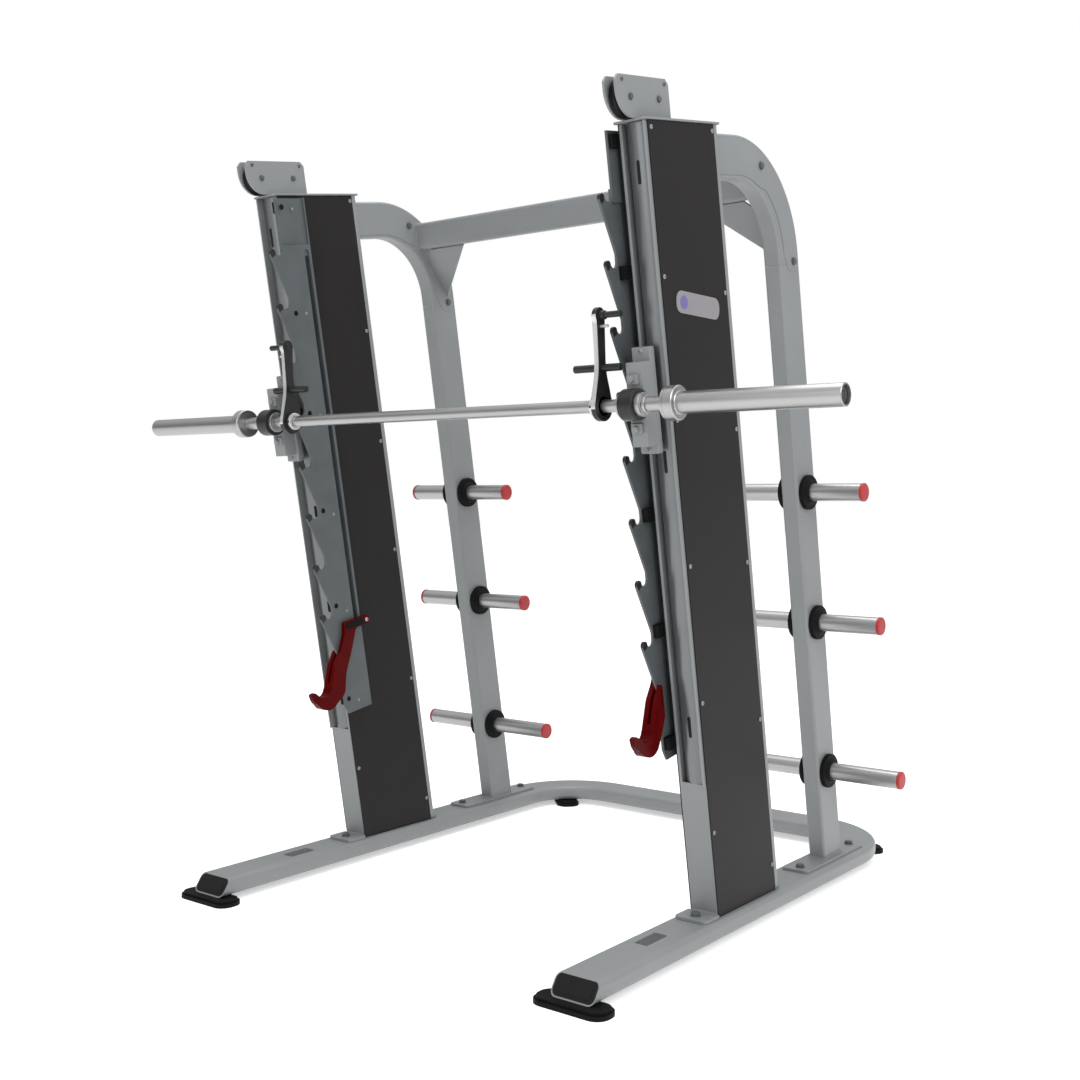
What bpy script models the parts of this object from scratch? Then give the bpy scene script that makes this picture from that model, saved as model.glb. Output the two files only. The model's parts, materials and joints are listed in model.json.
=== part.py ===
"""Smith machine: two leaning columns, a counterweighted bar, hook racks, safety stops and storage horns.

Metres, +Z up, +X to the right and -Y to the front. The origin is on the floor under the machine's middle.

The columns and all that is fixed to them lean back by LEAN. They are drawn in a leaning frame with the axes
x (right), n (backwards, square to the columns) and w (up along the columns); n = 0 is the front face of the
columns. Left and right pieces are mirror images, so they are built in a loop over SIDES.
"""

from math import asin, cos, degrees, pi, radians, sin

import bpy
import bmesh
from mathutils import Matrix

SIDES = {"left": -1, "right": 1}
GAP = 0.0003            # between pieces that touch

# Leaning frame
LEAN = radians(10)
COLUMN_FOOT_Y = -0.2485  # where the columns' front faces meet the floor plane

# Base: rounded rectangular tube
RAIL_X = 0.621
RAIL_WIDTH = 0.120
RAIL_HEIGHT = 0.048
RAIL_RADIUS = 0.016
WALL = 0.003
FOOT_THICKNESS = 0.017
RAIL_MID_Z = FOOT_THICKNESS + RAIL_HEIGHT / 2
RAIL_TOP_Z = FOOT_THICKNESS + RAIL_HEIGHT
RAIL_FRONT_Y = -0.8065   # middle of the slanted front cut
RAIL_SLANT = 0.70        # the cut runs back this much for each unit of height
CORNER_CENTRE = (0.402, 0.5725)
CORNER_RADIUS = RAIL_X - CORNER_CENTRE[0]
FOOT_LENGTH = 0.198
FOOT_WIDTH = 0.078
FOOT_RADIUS = 0.034
FRONT_FOOT_Y = -0.8125
REAR_FOOT = (0.558, 0.7295)

# Columns, measured from the inboard face at COLUMN_X
COLUMN_X = 0.580
COLUMN_WIDTH = 0.0813
COLUMN_TOP = 1.984
POST_DEPTH = 0.092
POST_WIDTH = 0.078
GROOVE_BOTTOM = 0.412    # below this height the post's front is closed
COLUMN_DEPTH = 0.306
PANEL_END = 0.2915
PANEL_THICKNESS = 0.003
SEAM = 0.0005            # open joint round a column panel
POST_WALL = 0.004
CAP_THICKNESS = 0.005
FOOT_PLATE_TOP = RAIL_TOP_Z + 0.008
ROD_X = COLUMN_X + 0.041
ROD_N = 0.040
ROD_RADIUS = 0.0125
WEIGHT_N = 0.134
WEIGHT_BOTTOM = 0.600
WEIGHT_HEIGHT = 0.500

# Bar, carriages and hooks
BAR_N = -0.105
BAR_W = 1.358
BAR_RADIUS = 0.015
HOUSING_RADIUS = 0.037
SLEEVE_RADIUS = 0.025
COLLAR_RADIUS = 0.0395
SLEEVE_START = 0.715
COLLAR_END = 0.747
SLEEVE_END = 1.142
LEVER_REST = radians(6)  # how far the hook levers stand back from the columns' direction at rest
PEG_ARM = 0.208          # bar axis to hook peg
HANDLE_ARM = 0.088       # bar axis to handle rod
PEG_RADIUS = 0.0075

# Hook rack
RACK_X = 0.560
RACK_THICKNESS = 0.006
RACK_BOTTOM = 0.470
RACK_TOP = 1.975
RACK_REAR = 0.079
TOOTH_PITCH = 0.150
TOOTH_COUNT = 8
FIRST_TIP = 0.785
TOOTH_BASE_N = -0.028
LIP_FRONT_N = -0.074
NOTCH_RADIUS = 0.0135

# Pulley bracket on the cap
PULLEY_W = 2.035
PULLEY_N = {"front": -0.027, "rear": 0.090}
PULLEY_RADIUS = 0.044
PULLEY_X = 0.621
BRACKET_HALF_GAP = 0.0125
BRACKET_PLATE = 0.006
BRACKET_TOP = 2.082

# Rear frame
TUBE_X = 0.621
TUBE_WIDTH = 0.050
TUBE_DEPTH = 0.108
TUBE_RADIUS = 0.008
ARCH_RADIUS = 0.246
ARCH_CENTRE = (0.421, 1.668)
UPRIGHT_N = ARCH_CENTRE[0] + ARCH_RADIUS
ARCH_END_W = 1.640
CROSSBAR_N = 0.597
CROSSBAR_W = 1.8575
CROSSBAR_WIDTH = 0.050
CROSSBAR_DEPTH = 0.081
HORNS = {"top": (1.0208, 0.417, 0.820), "middle": (0.652, 0.393, 0.843), "bottom": (0.215, 0.360, 0.873)}
HORN_N = 0.665
HORN_RADIUS = 0.024

ALONG_X = (0, pi / 2, 0)            # turns an object's Z axis to +X
FACING_X = (pi / 2, 0, pi / 2)      # lays a flat outline (n, w) square to the X axis


# ------------------------------------------------------------------------------------- scene and materials

def clear_scene():
    for obj in list(bpy.data.objects):
        bpy.data.objects.remove(obj)


def new_collection(name):
    collection = bpy.data.collections.new(name)
    bpy.context.scene.collection.children.link(collection)
    return collection


def new_material(name, colour, roughness, metallic):
    material = bpy.data.materials.new(name)
    material.use_nodes = True
    shader = material.node_tree.nodes["Principled BSDF"]
    shader.inputs["Base Color"].default_value = (*colour, 1)
    shader.inputs["Roughness"].default_value = roughness
    shader.inputs["Metallic"].default_value = metallic
    material.diffuse_color = (*colour, 1)
    return material


clear_scene()
PARTS = new_collection("smith_machine")
CUTTERS = new_collection("cutters")
PAINT = new_material("grey_paint", (0.26, 0.27, 0.275), 0.45, 0.0)
COVER = new_material("guide_cover_paint", (0.22, 0.23, 0.235), 0.30, 0.6)
PANEL = new_material("dark_panel", (0.045, 0.043, 0.043), 0.55, 0.0)
RACK = new_material("rack_paint", (0.085, 0.092, 0.095), 0.45, 0.0)
BLACK = new_material("black_steel", (0.018, 0.018, 0.018), 0.45, 0.3)
CHROME = new_material("chrome", (0.66, 0.66, 0.65), 0.25, 1.0)
IRON = new_material("cast_iron", (0.06, 0.06, 0.06), 0.60, 0.4)
RUBBER = new_material("black_rubber", (0.012, 0.012, 0.012), 0.70, 0.0)
PLASTIC = new_material("black_plastic", (0.03, 0.03, 0.03), 0.50, 0.0)
RED = new_material("red_gloss", (0.20, 0.004, 0.006), 0.22, 0.0)

LEAN_FRAME = bpy.data.objects.new("lean_frame", None)
LEAN_FRAME.location = (0, COLUMN_FOOT_Y, 0)
LEAN_FRAME.rotation_euler = (LEAN, 0, 0)
PARTS.objects.link(LEAN_FRAME)


# ------------------------------------------------------------------------------------------------ outlines

def arc(centre, radius, start, end, steps):
    """Points of an arc from start to end degrees, both ends included."""
    angles = [radians(start + (end - start) * i / steps) for i in range(steps + 1)]
    return [(centre[0] + radius * cos(a), centre[1] + radius * sin(a)) for a in angles]


def rounded_rectangle(width, height, radius, steps=3, centre=(0, 0)):
    points = []
    for quarter, (sx, sy) in enumerate([(1, 1), (-1, 1), (-1, -1), (1, -1)]):
        corner = (centre[0] + sx * (width / 2 - radius), centre[1] + sy * (height / 2 - radius))
        points += arc(corner, radius, 90 * quarter, 90 * quarter + 90, steps)
    return points


def rectangle(x0, x1, y0, y1):
    return [(x0, y0), (x1, y0), (x1, y1), (x0, y1)]


def mirrored(outline, side):
    """The outline for the right-hand piece, or its mirror image for the left-hand one."""
    return [(side * x, y) for x, y in outline]


# -------------------------------------------------------------------------------------------------- solids

def place(obj, material, location=(0, 0, 0), rotation=(0, 0, 0), parent=None):
    obj.data.materials.clear()
    obj.data.materials.append(material)
    obj.location = location
    obj.rotation_euler = rotation
    obj.parent = parent
    PARTS.objects.link(obj)
    return obj


def plate(name, outlines, thickness):
    """A flat solid, centred on its own XY plane. The first outline is its edge and the others are holes."""
    curve = bpy.data.curves.new(name, "CURVE")
    curve.dimensions = "2D"
    curve.fill_mode = "BOTH"
    curve.extrude = thickness / 2
    for outline in outlines:
        spline = curve.splines.new("POLY")
        spline.points.add(len(outline) - 1)
        spline.use_cyclic_u = True
        for point, (x, y) in zip(spline.points, outline):
            point.co = (x, y, 0, 1)
    guide = bpy.data.objects.new(name + "_guide", curve)
    CUTTERS.objects.link(guide)
    evaluated = guide.evaluated_get(bpy.context.evaluated_depsgraph_get())
    mesh = bpy.data.meshes.new_from_object(evaluated)
    bpy.data.objects.remove(guide)
    mesh.name = name
    return bpy.data.objects.new(name, welded(mesh))


def welded(mesh):
    shape = bmesh.new()
    shape.from_mesh(mesh)
    bmesh.ops.remove_doubles(shape, verts=shape.verts, dist=1e-6)
    bmesh.ops.recalc_face_normals(shape, faces=shape.faces)
    shape.to_mesh(mesh)
    shape.free()
    return mesh


def block(name, size, bevel=0.0):
    """A box centred on its origin, with its edges rounded by bevel."""
    shape = bmesh.new()
    bmesh.ops.create_cube(shape, size=1)
    bmesh.ops.scale(shape, vec=size, verts=shape.verts)
    mesh = bpy.data.meshes.new(name)
    shape.to_mesh(mesh)
    shape.free()
    obj = bpy.data.objects.new(name, mesh)
    if bevel:
        rounding = obj.modifiers.new("rounding", "BEVEL")
        rounding.width = bevel
        rounding.segments = 2
    return obj


def cylinder(name, radius, length, steps=24):
    """A cylinder along Z, centred on its origin."""
    shape = bmesh.new()
    bmesh.ops.create_cone(shape, cap_ends=True, segments=steps, radius1=radius, radius2=radius, depth=length)
    mesh = bpy.data.meshes.new(name)
    shape.to_mesh(mesh)
    shape.free()
    return bpy.data.objects.new(name, mesh)


def turned(name, profile, steps, bore=None):
    """A body of revolution about Z. The profile lists (z, radius) from the top down, and bore lists its inside
    the same way. Without a bore the profile starts and ends on the axis."""
    points = list(profile)
    if bore:
        points += list(reversed(bore))
    mesh = bpy.data.meshes.new(name)
    edges = [(i, i + 1) for i in range(len(points) - 1)]
    if bore:
        edges.append((len(points) - 1, 0))
    mesh.from_pydata([(radius, 0, z) for z, radius in points], edges, [])
    obj = bpy.data.objects.new(name, mesh)
    screw = obj.modifiers.new("turning", "SCREW")
    screw.steps = steps
    screw.render_steps = steps
    screw.use_merge_vertices = True
    screw.merge_threshold = 1e-5
    return obj


def tube(name, section, stations, wall=WALL):
    """An open-ended tube. Each station is a matrix that carries the section's XY plane to its place, with the
    matrix's Z axis pointing along the tube."""
    shape = bmesh.new()
    rings = [[shape.verts.new(station @ Matrix.Translation((x, y, 0)).translation) for x, y in section]
             for station in stations]
    for ring, following in zip(rings, rings[1:]):
        for i in range(len(section)):
            j = (i + 1) % len(section)
            shape.faces.new((ring[i], ring[j], following[j], following[i]))
    mesh = bpy.data.meshes.new(name)
    shape.to_mesh(mesh)
    shape.free()
    obj = bpy.data.objects.new(name, mesh)
    shell = obj.modifiers.new("wall", "SOLIDIFY")
    shell.thickness = wall
    shell.offset = -1
    shell.use_even_offset = True
    return obj


def boolean(obj, operation, tool):
    """Join a tool to obj or cut it away. The tool stands in the cutters' collection and is no part itself."""
    if tool.name not in CUTTERS.objects:
        CUTTERS.objects.link(tool)
    tool.hide_render = True
    tool.display_type = "WIRE"
    modifier = obj.modifiers.new(operation.lower(), "BOOLEAN")
    modifier.operation = operation
    modifier.object = tool


def as_tool(obj, location, rotation=(0, 0, 0), parent=LEAN_FRAME):
    obj.location = location
    obj.rotation_euler = rotation
    obj.parent = parent
    return obj


# ---------------------------------------------------------------------------------------------------- base

def frame_matrix(x_axis, y_axis, z_axis, origin):
    matrix = Matrix((x_axis, y_axis, z_axis)).transposed().to_4x4()
    matrix.translation = origin
    return matrix


def build_base():
    section = rounded_rectangle(RAIL_WIDTH, RAIL_HEIGHT, RAIL_RADIUS)
    side_view = ((-1, 0, 0), (0, 0, 1), (0, 1, 0))
    slanted = ((-1, 0, 0), (0, RAIL_SLANT, 1), (0, 1, 0))
    for side_name, side in SIDES.items():
        x = side * RAIL_X
        stations = [frame_matrix(*slanted, (x, RAIL_FRONT_Y, RAIL_MID_Z)),
                    frame_matrix(*side_view, (x, CORNER_CENTRE[1] - GAP, RAIL_MID_Z))]
        place(tube("base_rail_" + side_name, section, stations), PAINT)
        build_rail_end_cap(side_name, x)
        front_foot = plate("front_foot_" + side_name, [foot_outline()], FOOT_THICKNESS - GAP)
        place(front_foot, RUBBER, (x, FRONT_FOOT_Y, FOOT_THICKNESS / 2 - GAP / 2))
        rear_foot = plate("rear_foot_" + side_name, [foot_outline()], FOOT_THICKNESS - GAP)
        place(rear_foot, RUBBER, (side * REAR_FOOT[0], REAR_FOOT[1], FOOT_THICKNESS / 2 - GAP / 2),
              (0, 0, side * pi / 4))
    build_rear_tube(section)


def foot_outline():
    return rounded_rectangle(FOOT_LENGTH, FOOT_WIDTH, FOOT_RADIUS, steps=5)


def build_rail_end_cap(side_name, x):
    """A plug in the slanted end of a side rail, flush with its rim."""
    depth = 0.006
    clearance = 2 * (WALL + 0.0006)
    outline = rounded_rectangle(RAIL_WIDTH - clearance, RAIL_HEIGHT - clearance, RAIL_RADIUS - clearance / 2)
    cap = plate("rail_end_cap_" + side_name, [outline], depth)
    cap.data.transform(Matrix(((1, 0, 0, 0), (0, RAIL_SLANT, -1, 0), (0, 1, 0, 0), (0, 0, 0, 1))))
    place(cap, PLASTIC, (x, RAIL_FRONT_Y + depth / 2, RAIL_MID_Z))


def build_rear_tube(section):
    """The cross tube with a quarter bend at each end, running from the right rail round to the left one."""
    bend_steps = 8
    stations = []
    for side in (1, -1):
        for i in range(bend_steps + 1):
            turn = pi / 2 * (i if side == 1 else bend_steps - i) / bend_steps
            x = side * (CORNER_CENTRE[0] + CORNER_RADIUS * cos(turn))
            y = CORNER_CENTRE[1] + CORNER_RADIUS * sin(turn)
            along = (-sin(turn), side * cos(turn), 0)
            across = (-along[1], along[0], 0)
            stations.append(frame_matrix(across, (0, 0, 1), along, (x, y, RAIL_MID_Z)))
    place(tube("base_rear_tube", section, stations), PAINT)


# ------------------------------------------------------------------------------------------------- columns

def ground_cutter(name, top):
    """A block that cuts leaning pieces level with the foot plates."""
    height = 0.3
    cutter = block(name, (2, 3, height))
    return as_tool(cutter, (0, 0, top - height / 2), parent=None)


def foot_plate(name, outline, x):
    """A level plate on a side rail, for a column or an upright to be welded to."""
    thickness = FOOT_PLATE_TOP - RAIL_TOP_Z - GAP
    return as_tool(plate(name, [outline], thickness), (x, 0, FOOT_PLATE_TOP - thickness / 2), parent=None)


def build_column(side_name, side, weld_level, rest_level, rail_level):
    x = side * COLUMN_X
    build_post(side_name, side, weld_level)
    build_guide_cover(side_name, side)

    channel = [(0.0033, POST_DEPTH + SEAM), (0.0033, PANEL_END + SEAM), (0, PANEL_END + SEAM),
               (0, COLUMN_DEPTH), (COLUMN_WIDTH, COLUMN_DEPTH), (COLUMN_WIDTH, PANEL_END + SEAM),
               (0.0780, PANEL_END + SEAM), (0.0780, POST_DEPTH + SEAM), (0.0750, POST_DEPTH + SEAM),
               (0.0750, COLUMN_DEPTH - 0.004), (0.0063, COLUMN_DEPTH - 0.004), (0.0063, POST_DEPTH + SEAM)]
    outer_x = POST_WIDTH + GAP
    upright_pieces = {
        "rear_channel_": (channel, PAINT, rest_level),
        "inner_panel_": (rectangle(0, PANEL_THICKNESS, SEAM, PANEL_END), PANEL, rail_level),
        "outer_panel_": (rectangle(outer_x, outer_x + PANEL_THICKNESS, SEAM, PANEL_END), PANEL, rail_level),
    }
    for name, (outline, material, bottom) in upright_pieces.items():
        piece = plate(name + side_name, [mirrored(outline, side)], COLUMN_TOP)
        place(piece, material, (x, 0, COLUMN_TOP / 2), parent=LEAN_FRAME)
        boolean(piece, "DIFFERENCE", bottom)

    cap_outline = rounded_rectangle(COLUMN_WIDTH + 0.008, 0.335, 0.008, centre=(COLUMN_WIDTH / 2, 0.1525))
    cable_hole = arc((0.041, WEIGHT_N), 0.012, 0, 330, 11)
    cap_outlines = [mirrored(cap_outline, side), mirrored(cable_hole, side)]
    cap = plate("column_cap_" + side_name, cap_outlines, CAP_THICKNESS)
    place(cap, PAINT, (x, 0, COLUMN_TOP + GAP + CAP_THICKNESS / 2), parent=LEAN_FRAME)

    rod_bottom = 0.080
    rod = cylinder("guide_rod_" + side_name, ROD_RADIUS, COLUMN_TOP - rod_bottom, 20)
    place(rod, CHROME, (side * ROD_X, ROD_N, (COLUMN_TOP + rod_bottom) / 2), parent=LEAN_FRAME)

    weight = block("counterweight_" + side_name, (0.058, 0.068, WEIGHT_HEIGHT), bevel=0.003)
    place(weight, IRON, (side * ROD_X, WEIGHT_N, WEIGHT_BOTTOM + WEIGHT_HEIGHT / 2), parent=LEAN_FRAME)


def build_post(side_name, side, weld_level):
    """A channel with a groove in its front, closed in front near the floor, with a welded foot plate."""
    x = side * COLUMN_X
    wall = POST_WALL
    inner = PANEL_THICKNESS + GAP
    channel = [(0.010, 0), (inner, 0), (inner, POST_DEPTH), (POST_WIDTH, POST_DEPTH), (POST_WIDTH, 0),
               (POST_WIDTH - wall, 0), (POST_WIDTH - wall, POST_DEPTH - wall),
               (inner + wall, POST_DEPTH - wall), (inner + wall, wall), (0.010, wall)]
    post = plate("guide_post_" + side_name, [mirrored(channel, side)], COLUMN_TOP)
    place(post, PAINT, (x, 0, COLUMN_TOP / 2), parent=LEAN_FRAME)

    front_outline = mirrored(rectangle(inner + 0.002, 0.076, 0, wall), side)
    lower_front = plate("lower_front_" + side_name, [front_outline], GROOVE_BOTTOM)
    boolean(post, "UNION", as_tool(lower_front, (x, 0, GROOVE_BOTTOM / 2)))
    lip_outline = mirrored(rectangle(POST_WIDTH - wall, POST_WIDTH, -0.011, 0.002), side)
    lip = plate("outer_lip_" + side_name, [lip_outline], COLUMN_TOP - GROOVE_BOTTOM)
    boolean(post, "UNION", as_tool(lip, (x, 0, (COLUMN_TOP + GROOVE_BOTTOM) / 2)))
    boolean(post, "DIFFERENCE", weld_level)
    front, step, rear, corner = -0.3335, -0.2640, 0.0640, 0.012
    wide_inner, wide_outer = -0.005, 0.085
    foot_outline = arc((wide_inner + corner, front + corner), corner, 180, 270, 3)
    foot_outline += arc((wide_outer - corner, front + corner), corner, 270, 360, 3)
    foot_outline += [(wide_outer, step), (POST_WIDTH, step), (POST_WIDTH, rear), (inner, rear), (inner, step),
                     (wide_inner, step)]
    foot = foot_plate("column_foot_" + side_name, mirrored(foot_outline, side), x)
    boolean(post, "UNION", foot)


def build_guide_cover(side_name, side):
    """A curved sheet over the guide, from the groove to the post's outer lip."""
    left, right, rise, sheet = 0.017, 0.0735, 0.012, 0.0025
    radius = ((right - left) ** 2 / 4 + rise ** 2) / (2 * rise)
    half_angle = degrees(asin((right - left) / 2 / radius))
    centre = ((left + right) / 2, radius)
    outline = arc(centre, radius, 270 - half_angle, 270 + half_angle, 8)
    outline += arc(centre, radius - sheet, 270 + half_angle, 270 - half_angle, 8)
    height = COLUMN_TOP - GROOVE_BOTTOM - 2 * GAP
    cover = plate("guide_cover_" + side_name, [mirrored(outline, side)], height)
    place(cover, COVER, (side * COLUMN_X, 0, (COLUMN_TOP + GROOVE_BOTTOM) / 2), parent=LEAN_FRAME)


# ------------------------------------------------------------------------------------------------- pulleys

def build_pulley_bracket(side_name, side):
    corner = 0.060
    clip = 0.012
    front, rear = -0.080, 0.137
    bottom = COLUMN_TOP + CAP_THICKNESS + 2 * GAP
    outline = [(rear, bottom), (rear, BRACKET_TOP - clip), (rear - clip, BRACKET_TOP),
               (front + clip, BRACKET_TOP), (front, BRACKET_TOP - clip)]
    outline += arc((front + corner, bottom + corner), corner, 180, 270, 8)
    for plate_name, direction in (("inner", -1), ("outer", 1)):
        x = side * (PULLEY_X + direction * (BRACKET_HALF_GAP + BRACKET_PLATE / 2))
        cheek = plate(f"pulley_bracket_{plate_name}_{side_name}", [outline], BRACKET_PLATE)
        place(cheek, PAINT, (x, 0, 0), FACING_X, LEAN_FRAME)
        if plate_name == "outer":
            for n in PULLEY_N.values():
                axle = cylinder("axle", 0.006, 2 * BRACKET_HALF_GAP, 16)
                boolean(cheek, "UNION", as_tool(axle, (side * (PULLEY_X + 0.001), n, PULLEY_W), ALONG_X))
    for pulley_name, n in PULLEY_N.items():
        half = 0.009
        profile = [(half, PULLEY_RADIUS), (0.003, PULLEY_RADIUS - 0.007), (-0.003, PULLEY_RADIUS - 0.007),
                   (-half, PULLEY_RADIUS)]
        bore = [(half, 0.0065), (-half, 0.0065)]
        pulley = turned(f"{pulley_name}_pulley_{side_name}", profile, 24, bore)
        place(pulley, PLASTIC, (side * PULLEY_X, n, PULLEY_W), ALONG_X, LEAN_FRAME)


# --------------------------------------------------------------------------------------------------- racks

def tooth(tip):
    """The front edge of one hook tooth from the bottom up: slope, rounded lip and round-bottomed notch."""
    lip_radius = 0.0095
    lip_centre = (LIP_FRONT_N + lip_radius, tip - lip_radius)
    notch_centre = (TOOTH_BASE_N - NOTCH_RADIUS, tip - 0.0045)
    points = [(TOOTH_BASE_N, tip - 0.135), (LIP_FRONT_N, tip - 0.016)]
    points += arc(lip_centre, lip_radius, 180, 0, 6)
    points += arc(notch_centre, NOTCH_RADIUS, 180, 360, 6)
    return points


def build_rack(side_name, side):
    tips = [FIRST_TIP + TOOTH_PITCH * i for i in range(TOOTH_COUNT)]
    top_of_teeth = 1.845
    outline = [(TOOTH_BASE_N + 0.012, RACK_BOTTOM + 0.001), (TOOTH_BASE_N, RACK_BOTTOM + 0.030)]
    for tip in tips:
        outline += tooth(tip)
    plate_rear = RACK_REAR - 0.001
    outline += [(TOOTH_BASE_N, top_of_teeth), (plate_rear, top_of_teeth), (plate_rear, RACK_BOTTOM + 0.001)]
    slot = rounded_rectangle(0.017, 1.107, 0.008, centre=(0.0615, 1.2785))
    rack = plate("hook_rack_" + side_name, [outline, slot], RACK_THICKNESS)
    place(rack, RACK, (side * RACK_X, 0, 0), FACING_X, LEAN_FRAME)

    flange_width = COLUMN_X - GAP - (RACK_X - RACK_THICKNESS / 2)
    flange = block("rack_flange_" + side_name, (flange_width, 0.005, RACK_TOP - RACK_BOTTOM))
    flange_x = side * (COLUMN_X - GAP - flange_width / 2)
    boolean(rack, "UNION", as_tool(flange, (flange_x, RACK_REAR - 0.0025, (RACK_TOP + RACK_BOTTOM) / 2)))
    head_depth = RACK_REAR - 0.002 - TOOTH_BASE_N
    head = block("rack_head_" + side_name, (RACK_THICKNESS, head_depth, 0.160))
    head_x = side * (RACK_X + RACK_THICKNESS - 0.001)
    boolean(rack, "UNION", as_tool(head, (head_x, TOOTH_BASE_N + head_depth / 2, RACK_TOP - 0.081)))
    for w in (0.515, 0.800, 1.085, 1.370, 1.655, 1.950):
        x0 = RACK_X + RACK_THICKNESS / 2 - 0.001
        width = COLUMN_X - 2 * GAP - x0
        spacer = block("rack_spacer", (width, 0.026, 0.030))
        boolean(rack, "UNION", as_tool(spacer, (side * (x0 + width / 2), -0.010, w)))


def build_safety_stop(side_name, side):
    """A catch astride the rack: an arm with a pin in the rack's slot, and a cheek beyond the teeth."""
    front = [(-0.028, 0.668), (-0.056, 0.635), (-0.086, 0.566)]
    head = [(0.100, 0.722), (0.100, 0.748), (0.000, 0.748), (-0.004, 0.715)]
    arm_rear = [(-0.034, 0.540), (-0.018, 0.600), (0.014, 0.658), (0.044, 0.722)]
    cheek_rear = [(-0.048, 0.550), (-0.0275, 0.590), (-0.0275, 0.668)]
    arm = head + front + stop_hook(310) + arm_rear
    cheek = [(-0.030, 0.668)] + front[1:] + stop_hook(310) + cheek_rear
    bridge = [(-0.0785, 0.580), (-0.087, 0.564)] + stop_hook(297, inset=0.001)

    stop = plate("safety_stop_" + side_name, [arm], 0.0125)
    place(stop, RED, (side * 0.54925, 0, 0), FACING_X, LEAN_FRAME)
    for name, outline, thickness, x in (("cheek_", cheek, 0.0125, 0.57075), ("bridge_", bridge, 0.014, 0.560)):
        piece = plate(name + side_name, [outline], thickness)
        boolean(stop, "UNION", as_tool(piece, (side * x, 0, 0), FACING_X))
    taper = [(-0.020, 0.110), (-0.020, -0.106), (-0.006, -0.160), (0.006, -0.160), (0.020, -0.106), (0.020, 0.110)]
    lip_taper = plate("lip_taper_" + side_name, [mirrored(taper, side)], 0.400)
    boolean(stop, "INTERSECT", as_tool(lip_taper, (side * 0.560, 0, 0.620)))
    pin = cylinder("stop_pin_" + side_name, 0.0068, 0.018, 16)
    boolean(stop, "UNION", as_tool(pin, (side * 0.560, 0.0615, 0.7345), ALONG_X))


def stop_hook(last_angle, inset=0.0):
    """The cradle, lip and rounded underside of a safety stop, up to an angle round the underside."""
    cradle = arc((-0.110, 0.572), 0.0235 + inset, 345, 215, 5)
    lip = [(-0.140, 0.571 - inset), (-0.156 + 2 * inset, 0.569 - inset), (-0.148 + inset, 0.542 + inset)]
    underside = arc((-0.098, 0.552), 0.043 - inset, 205, last_angle, 5)
    return cradle + lip + underside


# ----------------------------------------------------------------------------------------------------- bar

def build_carriage(side_name, side):
    """Back plate, front block, arm through the groove and sliding block on the rod, all one weldment."""
    body = block("carriage_" + side_name, (0.050, 0.021, 0.248), bevel=0.003)
    place(body, PAINT, (side * 0.615, -0.0345, 1.360), parent=LEAN_FRAME)
    pieces = {
        "front_block": ((0.042, 0.042, 0.194), (0.619, -0.064, 1.355)),
        "arm": ((0.005, 0.062, 0.110), (0.5935, -0.001, 1.385)),
        "slide_block": ((0.058, 0.044, 0.100), (0.621, ROD_N, 1.385)),
    }
    for name, (size, (x, n, w)) in pieces.items():
        boolean(body, "UNION", as_tool(block(f"{name}_{side_name}", size), (side * x, n, w)))
    rod_bore = cylinder("rod_bore_" + side_name, ROD_RADIUS + 0.0006, 0.2, 20)
    boolean(body, "DIFFERENCE", as_tool(rod_bore, (side * ROD_X, ROD_N, 1.385)))
    saddle = cylinder("saddle_" + side_name, HOUSING_RADIUS + 2 * GAP, 0.080, 24)
    boolean(body, "DIFFERENCE", as_tool(saddle, (side * 0.620, BAR_N, BAR_W), ALONG_X))

    half = 0.0197
    housing = turned("bearing_housing_" + side_name, [(half, HOUSING_RADIUS), (-half, HOUSING_RADIUS)], 24,
                     [(half, BAR_RADIUS + 0.0004), (-half, BAR_RADIUS + 0.0004)])
    place(housing, BLACK, (side * 0.620, BAR_N, BAR_W), ALONG_X, LEAN_FRAME)


def build_bar():
    """One shaft across both columns, with a nut on each side of each bearing housing."""
    nut_radius = 0.028
    half_profile = [(1.127, 0), (1.127, 0.017), (0.652, 0.017), (0.652, nut_radius), (0.640, nut_radius),
                    (0.640, BAR_RADIUS), (0.600, BAR_RADIUS), (0.600, nut_radius), (0.590, nut_radius),
                    (0.590, BAR_RADIUS)]
    profile = half_profile + [(-z, radius) for z, radius in reversed(half_profile)]
    bar = turned("bar", profile, 20)
    place(bar, CHROME, (0, BAR_N, BAR_W), ALONG_X, LEAN_FRAME)


def build_sleeve(side_name, side):
    """A weight sleeve with its collar, turning freely on the bar's end."""
    profile = [(SLEEVE_END, SLEEVE_RADIUS), (COLLAR_END, SLEEVE_RADIUS), (COLLAR_END, COLLAR_RADIUS),
               (SLEEVE_START, COLLAR_RADIUS)]
    mouth_end = SLEEVE_END - 0.014
    bore = [(SLEEVE_END, 0.0205), (mouth_end, 0.0205), (mouth_end, 0.0175), (SLEEVE_START, 0.0175)]
    sleeve = turned("sleeve_" + side_name, profile, 24, bore)
    place(sleeve, CHROME, (0, BAR_N, BAR_W), (0, side * pi / 2, 0), LEAN_FRAME)


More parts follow.
